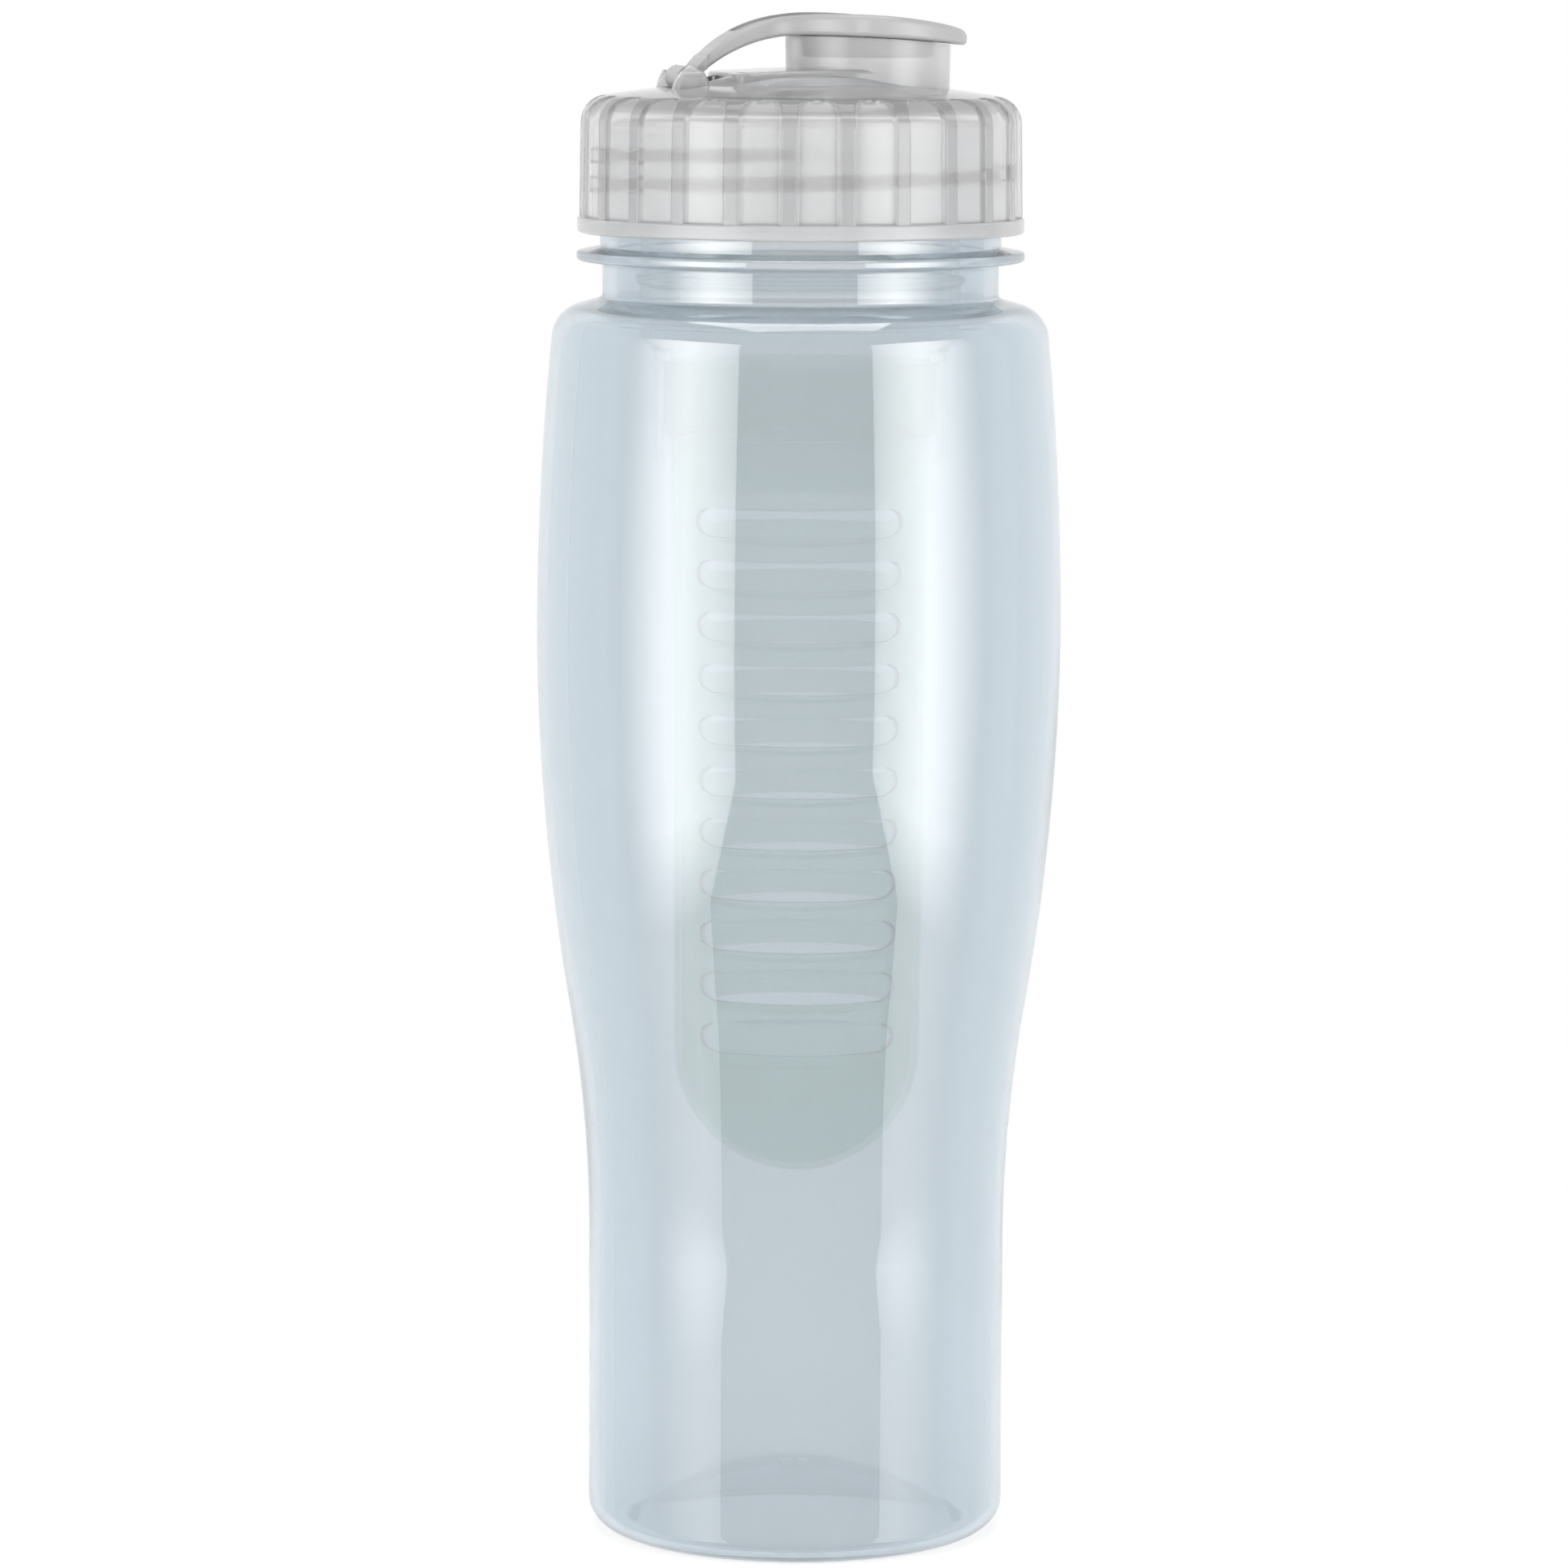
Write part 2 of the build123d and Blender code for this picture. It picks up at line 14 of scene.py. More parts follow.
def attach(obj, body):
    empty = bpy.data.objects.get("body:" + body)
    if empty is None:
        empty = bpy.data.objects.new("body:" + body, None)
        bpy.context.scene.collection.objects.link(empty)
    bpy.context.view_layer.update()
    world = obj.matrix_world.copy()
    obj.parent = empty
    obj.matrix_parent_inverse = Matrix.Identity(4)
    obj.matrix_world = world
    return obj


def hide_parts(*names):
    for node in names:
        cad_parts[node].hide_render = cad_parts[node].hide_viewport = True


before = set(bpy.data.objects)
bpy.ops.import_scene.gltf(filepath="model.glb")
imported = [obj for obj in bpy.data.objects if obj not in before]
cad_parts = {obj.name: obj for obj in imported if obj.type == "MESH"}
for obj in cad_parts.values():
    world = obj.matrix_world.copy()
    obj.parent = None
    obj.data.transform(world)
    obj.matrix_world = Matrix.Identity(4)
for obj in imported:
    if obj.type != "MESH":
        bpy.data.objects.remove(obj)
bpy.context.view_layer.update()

log = logging.getLogger("infuser_bottle")

MM = 0.001
FULL_TURN = 2 * math.pi
# Mesh attribute that marks thicker plastic and where painted light and painted shade are laid on
PLASTIC_AND_PAINTED_LIGHT = "thickness"
TINY = 1e-6  # a share or a radius that counts as none
TOUCH = 1e-4  # millimetres off a plane that still count as on it
LONGEST_TURN = 0.16  # radians between two samples of an arc

Place = tuple[float, float]
Relief = Callable[[float, float, float], float]


class Zone(Enum):
    """The CAD nodes that the dressed pieces stand for."""

    BODY = "bottle_body"
    GASKET = "cap_gasket"
    COLLAR = "infuser_collar"
    BASKET = "infuser_basket"
    CAP = "screw_cap"
    LID = "flip_lid"


# Outline helpers


def tangent_arc(start: Place, end: Place, tangent: Place, step: float = 0.8) -> list[Place]:
    """Samples the arc that leaves start along tangent and ends at end.

    Args:
        start: First point, in millimetres.
        end: Last point.
        tangent: Direction of travel at start.
        step: Longest chord between two samples.

    Returns:
        The points after start, up to and with end.
    """
    size = math.hypot(*tangent)
    normal = (-tangent[1] / size, tangent[0] / size)
    chord = (end[0] - start[0], end[1] - start[1])
    side = chord[0] * normal[0] + chord[1] * normal[1]
    length = math.hypot(*chord)
    if abs(side) < TINY * length:
        return straight(start, end, step)
    radius = length * length / (2 * side)
    centre = (start[0] + radius * normal[0], start[1] + radius * normal[1])
    first = math.atan2(start[1] - centre[1], start[0] - centre[0])
    last = math.atan2(end[1] - centre[1], end[0] - centre[0])
    sweep = (last - first) % FULL_TURN
    if radius < 0:
        sweep -= FULL_TURN
    count = max(2, math.ceil(abs(sweep * radius) / step), math.ceil(abs(sweep) / LONGEST_TURN))
    return [
        (
            centre[0] + abs(radius) * math.cos(first + sweep * k / count),
            centre[1] + abs(radius) * math.sin(first + sweep * k / count),
        )
        for k in range(1, count + 1)
    ]


def straight(start: Place, end: Place, step: float = 1.5) -> list[Place]:
    """Samples a straight run.

    Args:
        start: First point.
        end: Last point.
        step: Longest distance between two samples.

    Returns:
        The points after start, up to and with end.
    """
    count = max(1, math.ceil(math.dist(start, end) / step))
    return [
        (start[0] + (end[0] - start[0]) * k / count, start[1] + (end[1] - start[1]) * k / count)
        for k in range(1, count + 1)
    ]


def polyline(places: Sequence[Place], step: float = 1.5) -> list[Place]:
    """Samples straight runs through several places, the first one left out.

    Args:
        places: The places.
        step: Longest distance between two samples.

    Returns:
        The points after the first place, up to and with the last.
    """
    points: list[Place] = []
    for start, end in zip(places, places[1:]):
        points += straight(start, end, step)
    return points


def ease(first: Place, last: Place, count: int = 12) -> list[Place]:
    """Samples an S-shaped run between two heights that leaves and arrives upright.

    Args:
        first: Place where it starts.
        last: Place where it ends.
        count: Number of samples.

    Returns:
        The points after first, up to and with last.
    """
    points = []
    for k in range(1, count + 1):
        share = k / count
        blend = share * share * (3 - 2 * share)
        points.append((first[0] + (last[0] - first[0]) * blend, first[1] + (last[1] - first[1]) * share))
    return points


def soften(points: list[Place], place: Place, radius: float, reach: int = 12) -> list[Place]:
    """Rounds the corner of a sampled outline that lies nearest to a place.

    Args:
        points: The outline.
        place: Where the corner is.
        radius: Radius of the rounding.
        reach: How many points before the corner the rounding may replace.

    Returns:
        The outline with the corner replaced by an arc.
    """
    at = min(range(len(points)), key=lambda k: math.dist(points[k], place))
    corner = points[at]
    before, after = points[at - 1], points[at + 1]
    heading_in = math.atan2(corner[1] - before[1], corner[0] - before[0])
    heading_out = math.atan2(after[1] - corner[1], after[0] - corner[0])
    turn = abs((heading_out - heading_in + math.pi) % FULL_TURN - math.pi)
    trim = radius * math.tan(turn / 2)
    start = corner[0] - trim * math.cos(heading_in), corner[1] - trim * math.sin(heading_in)
    end = corner[0] + trim * math.cos(heading_out), corner[1] + trim * math.sin(heading_out)
    head = [p for p in points[:at] if math.dist(p, corner) > trim or points.index(p) < at - reach]
    tail = [p for p in points[at + 1 :] if math.dist(p, corner) > trim]
    arc = tangent_arc(start, end, (math.cos(heading_in), math.sin(heading_in)), step=radius / 4)
    return head + [start] + arc + tail


# Mesh helpers


def finish_mesh(name: str, mesh: bmesh.types.BMesh, crisp_angle: float = math.radians(40)
                ) -> bpy.types.Object:
    """Turns a bmesh in millimetres into a smooth-shaded object in metres.

    Args:
        name: Name of the piece.
        mesh: The mesh, which is freed.
        crisp_angle: Edges that turn more than this stay crisp.

    Returns:
        The new object, linked to the scene.
    """
    bmesh.ops.recalc_face_normals(mesh, faces=mesh.faces)
    mesh.transform(Matrix.Scale(MM, 4))
    data = bpy.data.meshes.new(name)
    mesh.to_mesh(data)
    mesh.free()
    smooth_shading(data, crisp_angle)
    piece = bpy.data.objects.new(name, data)
    bpy.context.scene.collection.objects.link(piece)
    return piece


def smooth_shading(data: bpy.types.Mesh, crisp_angle: float) -> None:
    """Shades a mesh smoothly, but for the edges that turn more than an angle."""
    data.shade_smooth()
    data.set_sharp_from_angle(angle=crisp_angle)


def discard(piece: bpy.types.Object) -> None:
    """Takes a helper object and its mesh out of the file.

    Args:
        piece: The helper.
    """
    spent = piece.data
    bpy.data.objects.remove(piece)
    bpy.data.meshes.remove(spent)


def lies_at(edge: bmesh.types.BMEdge, axis: int, place: float) -> bool:
    """Says whether an edge lies in the plane at a place along an axis, 0 for X to 2 for Z."""
    return all(abs(vertex.co[axis] - place) < TOUCH for vertex in edge.verts)


def round_edges(mesh: bmesh.types.BMesh, edges: list[bmesh.types.BMEdge], radius: float, steps: int) -> None:
    """Rounds some edges of a mesh."""
    bmesh.ops.bevel(mesh, geom=edges, offset=radius, segments=steps, affect="EDGES", profile=0.5)


def even_angles(count: int) -> list[float]:
    """Lists evenly spread angles of a full turn."""
    return [FULL_TURN * k / count for k in range(count)]


def refined_angles(count: int, seams: Sequence[float], reach: float, extra: int) -> list[float]:
    """Lists the angles of a full turn, closer together near some seams.

    Args:
        count: Number of even angles.
        seams: Angles of the seams.
        reach: Half the width that gets the closer spacing, in radians.
        extra: Number of added angles each side of a seam.

    Returns:
        The sorted angles.
    """
    angles = [
        a for a in even_angles(count)
        if all(abs((a - s + math.pi) % FULL_TURN - math.pi) > reach for s in seams)
    ]
    for seam in seams:
        angles += [(seam + reach * k / extra) % FULL_TURN for k in range(-extra, extra + 1)]
    return sorted(angles)


def band(mesh: bmesh.types.BMesh, near: Sequence[bmesh.types.BMVert],
         far: Sequence[bmesh.types.BMVert]) -> None:
    """Adds the faces between two closed rows of corners.

    Args:
        mesh: The mesh.
        near: The first row, or one single corner.
        far: The second row, with as many corners as the first, or one.
    """
    count = max(len(near), len(far))
    for k in range(count):
        after = (k + 1) % count
        corners = [near[k % len(near)], near[after % len(near)], far[after % len(far)], far[k % len(far)]]
        mesh.faces.new(list(dict.fromkeys(corners)))


def turned(outline: Sequence[Place], angles: Sequence[float], relief: Relief | None = None,
           centre: float = 0.0) -> bmesh.types.BMesh:
    """Turns an outline round an upright axis into a closed mesh.

    Args:
        outline: Points of (radius, height). An open outline starts and ends on the axis.
        angles: The angles of the columns.
        relief: Gives the change of radius for an angle, a radius and a height.
        centre: Distance of the axis from the origin, along X.

    Returns:
        The mesh, in millimetres.
    """
    mesh = bmesh.new()
    rings = []
    on_axis = outline[0][0] < TINY
    for radius, height in outline:
        if radius < TINY:
            rings.append([mesh.verts.new((centre, 0, height))])
            continue
        ring = []
        for angle in angles:
            reach = radius + (relief(angle, radius, height) if relief else 0.0)
            ring.append(mesh.verts.new((centre + reach * math.cos(angle), reach * math.sin(angle), height)))
        rings.append(ring)
    pairs = list(zip(rings, rings[1:]))
    if not on_axis:
        pairs.append((rings[-1], rings[0]))
    for lower, upper in pairs:
        band(mesh, lower, upper)
    return mesh


def prism(outline: Sequence[Place], low: float, high: float, upright: bool = False) -> bmesh.types.BMesh:
    """Extrudes a closed outline.

    Args:
        outline: Corners of (x, z) for a side view, or (x, y) for a plan.
        low: Where the extrusion starts, along Y for a side view and Z for a plan.
        high: Where it ends.
        upright: True for a plan.

    Returns:
        The mesh, in millimetres.
    """
    mesh = bmesh.new()
    layers = []
    for level in (low, high):
        spots = [(a, b, level) if upright else (a, level, b) for a, b in outline]
        layers.append([mesh.verts.new(spot) for spot in spots])
    mesh.faces.new(layers[0])
    mesh.faces.new(reversed(layers[1]))
    band(mesh, layers[0], layers[1])
    bmesh.ops.recalc_face_normals(mesh, faces=mesh.faces)
    return mesh


class Merge(Enum):
    """How one solid is combined with another."""

    JOIN = "UNION"
    CUT = "DIFFERENCE"
    KEEP = "INTERSECT"


def combine(piece: bpy.types.Object, tool: bmesh.types.BMesh, how: Merge) -> None:
    """Combines a piece with a tool solid and keeps the result in the piece.

    Args:
        piece: The object that is changed.
        tool: The other solid, in millimetres, which is freed.
        how: The kind of combination.
    """
    helper = finish_mesh("tool", tool)
    step = piece.modifiers.new("combine", "BOOLEAN")
    step.operation = how.value
    step.solver = "MANIFOLD"
    step.object = helper
    apply_modifiers(piece)
    discard(helper)


def combine_all(piece: bpy.types.Object, steps: Sequence[tuple[bmesh.types.BMesh, Merge]]) -> None:
    """Combines a piece with several tool solids in order.

    Args:
        piece: The object that is changed.
        steps: The solids, each with how it is combined.
    """
    for tool, how in steps:
        combine(piece, tool, how)


def apply_modifiers(piece: bpy.types.Object) -> None:
    """Puts the result of a piece's modifiers into its mesh.

    Args:
        piece: The object that is changed.
    """
    graph = bpy.context.evaluated_depsgraph_get()
    made = bpy.data.meshes.new_from_object(piece.evaluated_get(graph))
    spent = piece.data
    piece.modifiers.clear()
    piece.data = made
    bpy.data.meshes.remove(spent)


def mark_plastic_and_painted_light(piece: bpy.types.Object, thickness: Callable[[float, float, float], float]) -> None:
    """Notes on a piece where its material tints it: where the plastic is thicker and where painted light and
    painted shade lie.

    Args:
        piece: The finished piece.
        thickness: Gives 0 to 1 for an angle, a radius and a height in millimetres.
    """
    layer = piece.data.attributes.new(PLASTIC_AND_PAINTED_LIGHT, "FLOAT", "POINT")
    for vertex, slot in zip(piece.data.vertices, layer.data):
        x, y, z = vertex.co / MM
        slot.value = thickness(math.atan2(y, x), math.hypot(x, y), z)


def dress(piece: bpy.types.Object, material: bpy.types.Material, zone: Zone, body: str) -> None:
    """Gives a piece its finish, hides the CAD node it stands for and ties it to its body.

    Args:
        piece: The finished piece.
        material: Its material.
        zone: The CAD node it stands for.
        body: The CAD body it rides on.
    """
    piece.data.materials.clear()
    piece.data.materials.append(material)
    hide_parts(zone.value)
    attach(piece, body)
    log.info("%s: %d faces", piece.name, len(piece.data.polygons))


# Thread of the neck and of the cap


@dataclass(frozen=True)
class Thread:
    """A single-start right-hand ridge round the Z axis."""

    lead: float = 4.23
    height: float = 1.1
    crest_width: float = 0.9
    root_width: float = 2.3
    top_angle: float = math.radians(265)
    top_level: float = 212.3
    turns: float = 1.35
    run_out: float = math.radians(24)

    def rise(self, angle: float, level: float) -> float:
        """Gives how far the ridge stands out at a place.

        Args:
            angle: Angle round the axis.
            level: Height in millimetres.

        Returns:
            The height of the ridge there, in millimetres.
        """
        best = 0.0
        first = (self.top_angle - angle) % FULL_TURN
        for lap in range(math.ceil(self.turns) + 1):
            travel = first + lap * FULL_TURN
            if travel > self.turns * FULL_TURN:
                break
            middle = self.top_level - self.lead * travel / FULL_TURN
            away = abs(level - middle)
            flank = (self.root_width / 2 - away) / ((self.root_width - self.crest_width) / 2)
            left = self.turns * FULL_TURN - travel
            fade = min(1.0, travel / self.run_out, left / self.run_out)
            shape = min(1.0, max(0.0, flank))
            best = max(best, self.height * smooth(fade) * smooth(shape))
        return best


def smooth(share: float) -> float:
    """Eases a share from 0 to 1."""
    share = min(1.0, max(0.0, share))
    return share * share * (3 - 2 * share)


def level_at(line: Sequence[Place], x: float) -> float:
    """Gives the height of a line of places, listed towards smaller x, at x.

    Args:
        line: The places, in millimetres.
        x: Where the height is asked for.

    Returns:
        The height, which past the line's ends is that of the nearer end.
    """
    for (ahead, above), (behind, below) in zip(line, line[1:]):
        if behind <= x <= ahead and ahead > behind:
            return below + (above - below) * (x - behind) / (ahead - behind)
    return line[0][1] if x > line[0][0] else line[-1][1]


# Pieces


@dataclass
class BottleBody:
    """The blown bottle, with its neck thread, parting lines and domed base."""

    wall: float = 1.4
    push_up: float = 8.5
    push_up_radius: float = 26.0
    heel_round: float = 4.5
    grip_radius: float = 32.25
    grip_height: float = 45.7
    belly_radius: float = 40.4
    belly_height: float = 140.2
    waist_share: float = 0.396
    shoulder_radius: float = 37.75
    shoulder_height: float = 189.45
    shoulder_rise: float = 2.05
    shoulder_round: float = 5.5
    neck_wall: float = 2.0
    neck_radius: float = 30.4
    neck_length: float = 5.6
    root_round: float = 0.8
    bead_radius: float = 34.37
    bead_height: float = 2.2
    bead_edge: float = 1.5
    bead_round: float = 0.6
    land_radius: float = 30.76
    land_height: float = 3.2
    finish_radius: float = 30.2
    finish_height: float = 17.4
    rim_round: float = 0.5
    seam_angle: float = math.radians(198)
    seam_height: float = 0.035
    seam_half_width: float = 0.22
    ripple: float = 0.07
    ripple_fades: Place = (12.0, 20.0)
    ripple_waves: tuple[tuple[float, int, float, float], ...] = ((1.0, 3, 23.0, 0.0), (0.6, 5, -14.0, 1.3))
    gate_radius: float = 2.2
    gate_height: float = 0.6
    gate_flank: float = 0.4
    gate_clearance: float = 0.6
    land_bevel: float = 0.4
    columns: int = 172
    seam_reach: float = 0.016
    seam_columns: int = 6
    root_reach: float = 3.0
    painted_root_share: float = 0.8
    painted_base_share: float = 0.5
    base_margin: float = 0.1
    bead_margin: float = 0.5
    skin_margin: float = 0.2
    thread: Thread = field(default_factory=Thread)

    @property
    def neck_root(self) -> float:
        """Height of the root of the neck."""
        return self.shoulder_height + self.shoulder_rise

    @property
    def bead_bottom(self) -> float:
        """Height of the underside of the bead."""
        return self.neck_root + self.neck_length

    @property
    def bead_top(self) -> float:
        """Height of the top of the bead."""
        return self.bead_bottom + self.bead_height

    @property
    def rim(self) -> float:
        """Height of the rim."""
        return self.bead_top + self.finish_height

    def wall_outline(self, inset: float) -> list[Place]:
        """Samples the blown wall from the axis to the shoulder edge.

        Args:
            inset: Distance inside the outer skin.

        Returns:
            The points of (radius, height).
        """
        middle = self.grip_radius - self.heel_round
        points: list[Place] = [(0.0, self.push_up + inset)]
        points += tangent_arc(points[-1], (self.push_up_radius - inset, inset), (1, 0))
        points += straight(points[-1], (middle, inset))
        points += tangent_arc(points[-1], (self.grip_radius - inset, self.heel_round), (1, 0), step=0.5)
        points += straight(points[-1], (self.grip_radius - inset, self.grip_height), step=2.5)
        spread = self.waist_share * (self.belly_radius - self.grip_radius)
        climb = self.waist_share * (self.belly_height - self.grip_height)
        turn = (self.grip_radius + spread - inset, self.grip_height + climb)
        points += tangent_arc(points[-1], turn, (0, 1), step=2.0)
        heading = (points[-1][0] - points[-2][0], points[-1][1] - points[-2][1])
        points += tangent_arc(points[-1], (self.belly_radius - inset, self.belly_height), heading, step=2.0)
        shoulder = (self.shoulder_radius - inset, self.shoulder_height - inset)
        return points + tangent_arc(points[-1], shoulder, (0, 1), step=2.0)

    def outline(self) -> list[Place]:
        """Samples the whole section, outer skin first, from axis to axis.

        Returns:
            The points of (radius, height).
        """
        edge = self.bead_bottom + self.bead_edge
        land_top = self.bead_top + self.land_height
        gate = self.push_up - self.gate_height
        flank = (self.gate_radius + self.gate_flank, self.push_up)
        nub = polyline([(0.0, gate), (self.gate_radius, gate), flank], step=0.4)
        nub = soften(nub, (self.gate_radius, gate), self.gate_flank)
        outer = nub + [p for p in self.wall_outline(0) if p[0] > self.gate_radius + self.gate_clearance]
        outer += straight(outer[-1], (self.neck_radius, self.neck_root), step=0.8)
        outer += polyline([outer[-1], (self.neck_radius, self.bead_bottom)], step=0.7)
        outer += polyline([outer[-1], (self.bead_radius, self.bead_bottom)], step=0.8)
        outer += polyline([outer[-1], (self.bead_radius, edge)], step=0.5)
        land = [(self.land_radius, self.bead_top), (self.land_radius, land_top)]
        outer += polyline([outer[-1], *land], step=0.7)
        finish_foot = (self.finish_radius, land_top + self.land_bevel)
        outer += polyline([outer[-1], finish_foot, (self.finish_radius, self.rim)], step=0.22)
        outer = soften(outer, (self.shoulder_radius, self.shoulder_height), self.shoulder_round)
        outer = soften(outer, (self.neck_radius, self.neck_root), self.root_round)
        outer = soften(outer, (self.neck_radius, self.bead_bottom), self.root_round)
        outer = soften(outer, (self.bead_radius, self.bead_bottom), self.bead_round)
        outer = soften(outer, (self.bead_radius, edge), self.bead_round)
        bore = self.neck_radius - self.neck_wall
        inner = self.wall_outline(self.wall)
        inner += polyline([inner[-1], (bore, self.neck_root - self.wall), (bore, self.rim)], step=1.2)
        shoulder = (self.shoulder_radius - self.wall, self.shoulder_height - self.wall)
        inner = soften(inner, shoulder, self.shoulder_round - self.wall)
        inner = soften(inner, (bore, self.neck_root - self.wall), self.root_round + self.wall)
        whole = outer + list(reversed(inner))
        whole = soften(whole, (self.finish_radius, self.rim), self.rim_round)
        return soften(whole, (bore, self.rim), self.rim_round)

    def relief(self, angle: float, radius: float, level: float) -> float:
        """Adds the thread, the parting lines and the wavy inner skin.

        Args:
            angle: Angle round the axis.
            radius: Distance from the axis, in millimetres.
            level: Height in millimetres.

        Returns:
            The change of radius, in millimetres.
        """
        above_land = level > self.bead_top + self.land_height
        if above_land and radius > self.finish_radius - self.skin_margin:
            return self.thread.rise(angle, level)
        seam = 0.0
        for side in (self.seam_angle, self.seam_angle + math.pi):
            away = abs((angle - side + math.pi) % FULL_TURN - math.pi) * radius
            seam = max(seam, self.seam_height * smooth(1 - away / self.seam_half_width))
        if radius < self.skin_radius(level) - self.wall / 2:
            fade = smooth((level - self.push_up) / self.ripple_fades[0])
            fade *= smooth((self.shoulder_height - level) / self.ripple_fades[1])
            wave = sum(weight * math.sin(lobes * angle + level / climb + lead)
                       for weight, lobes, climb, lead in self.ripple_waves)
            return self.ripple * fade * wave
        return seam if self.heel_round < level < self.neck_root else 0.0

    def skin_radius(self, level: float) -> float:
        """Gives the outer radius at a height, roughly, to tell the two skins apart.

        Args:
            level: Height in millimetres.

        Returns:
            The radius, in millimetres.
        """
        if level > self.neck_root - self.wall:
            return self.neck_radius
        if level < self.heel_round:
            return self.grip_radius - self.heel_round
        if level < self.grip_height:
            return self.grip_radius
        if level < self.belly_height:
            share = (level - self.grip_height) / (self.belly_height - self.grip_height)
            return self.grip_radius + smooth(share) * (self.belly_radius - self.grip_radius)
        share = (level - self.belly_height) / (self.shoulder_height - self.belly_height)
        return self.belly_radius - share * share * (self.belly_radius - self.shoulder_radius)

    def build(self) -> bpy.types.Object:
        """Makes the bottle's mesh.

        Returns:
            The new object.
        """
        seams = (self.seam_angle % FULL_TURN, (self.seam_angle + math.pi) % FULL_TURN)
        angles = refined_angles(self.columns, seams, self.seam_reach, self.seam_columns)
        piece = finish_mesh("bottle", turned(self.outline(), angles, self.relief))
        mark_plastic_and_painted_light(piece, self.thickness)
        return piece

    def thickness(self, angle: float, radius: float, level: float) -> float:
        """Gives 1 on the neck above the bead, which the tint makes lighter, and less on bead, root and base,
        where the lighter tint is painted light.

        Args:
            angle: Angle round the axis, which is not used.
            radius: Distance from the axis, in millimetres.
            level: Height in millimetres.

        Returns:
            The mark, from 0 to 1.
        """
        # Painted light: the base is tinted lighter, against the floor's shadow seen through it
        if level < self.push_up + self.wall + self.base_margin:
            return self.painted_base_share * smooth((self.push_up_radius - radius) / self.root_reach)
        # Painted light: the bead and the neck root are tinted lighter, which softens the dark lines there
        bead = smooth(radius - self.finish_radius) if level > self.bead_bottom - self.bead_margin else 0.0
        root = smooth(1 - abs(level - self.neck_root) / self.root_reach)
        return max(smooth(level - self.bead_top), self.painted_root_share * max(bead, root))


@dataclass
class CapGasket:
    """The flat silicone ring between the rim and the collar."""

    outer: float = 29.8
    inner: float = 24.85
    low: float = 216.7
    high: float = 218.2
    round_edge: float = 0.25
    columns: int = 180

    def build(self) -> bpy.types.Object:
        """Makes the ring's mesh.

        Returns:
            The new object.
        """
        ring = polyline(
            [(self.inner, self.low), (self.outer, self.low), (self.outer, self.high),
             (self.inner, self.high), (self.inner, self.low)], step=0.5,
        )
        for corner in ((self.outer, self.low), (self.outer, self.high), (self.inner, self.high)):
            ring = soften(ring, corner, self.round_edge)
        return finish_mesh("gasket", turned(ring, even_angles(self.columns)))


@dataclass
class InfuserCollar:
    """The flanged sleeve that hangs in the neck and holds the basket."""

    ceiling: float = 219.8
    radius: float = 24.5
    wall: float = 1.3
    flange: float = 1.6
    flange_radius: float = 29.2
    bead_drop: float = 25.4
    bead_radius: float = 0.85
    shoulder_drop: float = 32.4
    shoulder_height: float = 3.8
    sleeve_radius: float = 22.65
    length: float = 52.8
    stop_drop: float = 37.8
    stop_height: float = 1.4
    stop_width: float = 1.4
    bead_steps: int = 10
    edge_round: float = 0.4
    columns: int = 192

    def outline(self) -> list[Place]:
        """Samples the closed section.

        Returns:
            The points of (radius, height).
        """
        shoulder = self.ceiling - self.shoulder_drop
        foot = self.ceiling - self.length
        stop = self.ceiling - self.stop_drop
        bead = self.ceiling - self.bead_drop
        bore = self.radius - self.wall
        sleeve_bore = self.sleeve_radius - self.wall
        under = self.ceiling - self.flange
        points = polyline([(bore, self.ceiling), (self.flange_radius, self.ceiling),
                           (self.flange_radius, under), (self.radius, under),
                           (self.radius, bead + self.bead_radius)], step=1.0)
        for k in range(1, self.bead_steps):
            turn = math.pi * k / self.bead_steps
            points.append((self.radius + self.bead_radius * math.sin(turn),
                           bead + self.bead_radius * math.cos(turn)))
        points += polyline([(self.radius, bead - self.bead_radius), (self.radius, shoulder)])
        points += ease((self.radius, shoulder), (self.sleeve_radius, shoulder - self.shoulder_height))
        points += polyline([points[-1], (self.sleeve_radius, foot), (sleeve_bore, foot),
                            (sleeve_bore, stop), (sleeve_bore - self.stop_width, stop),
                            (sleeve_bore - self.stop_width, stop + self.stop_height),
                            (sleeve_bore, stop + self.stop_height),
                            (sleeve_bore, shoulder - self.shoulder_height)], step=1.0)
        points += ease(points[-1], (bore, shoulder))
        points += straight(points[-1], (bore, self.ceiling))
        for corner in ((self.flange_radius, under), (self.sleeve_radius, foot), (sleeve_bore, foot)):
            points = soften(points, corner, self.edge_round)
        return points

    def build(self) -> bpy.types.Object:
        """Makes the collar's mesh."""
        return finish_mesh("collar", turned(self.outline(), even_angles(self.columns)))


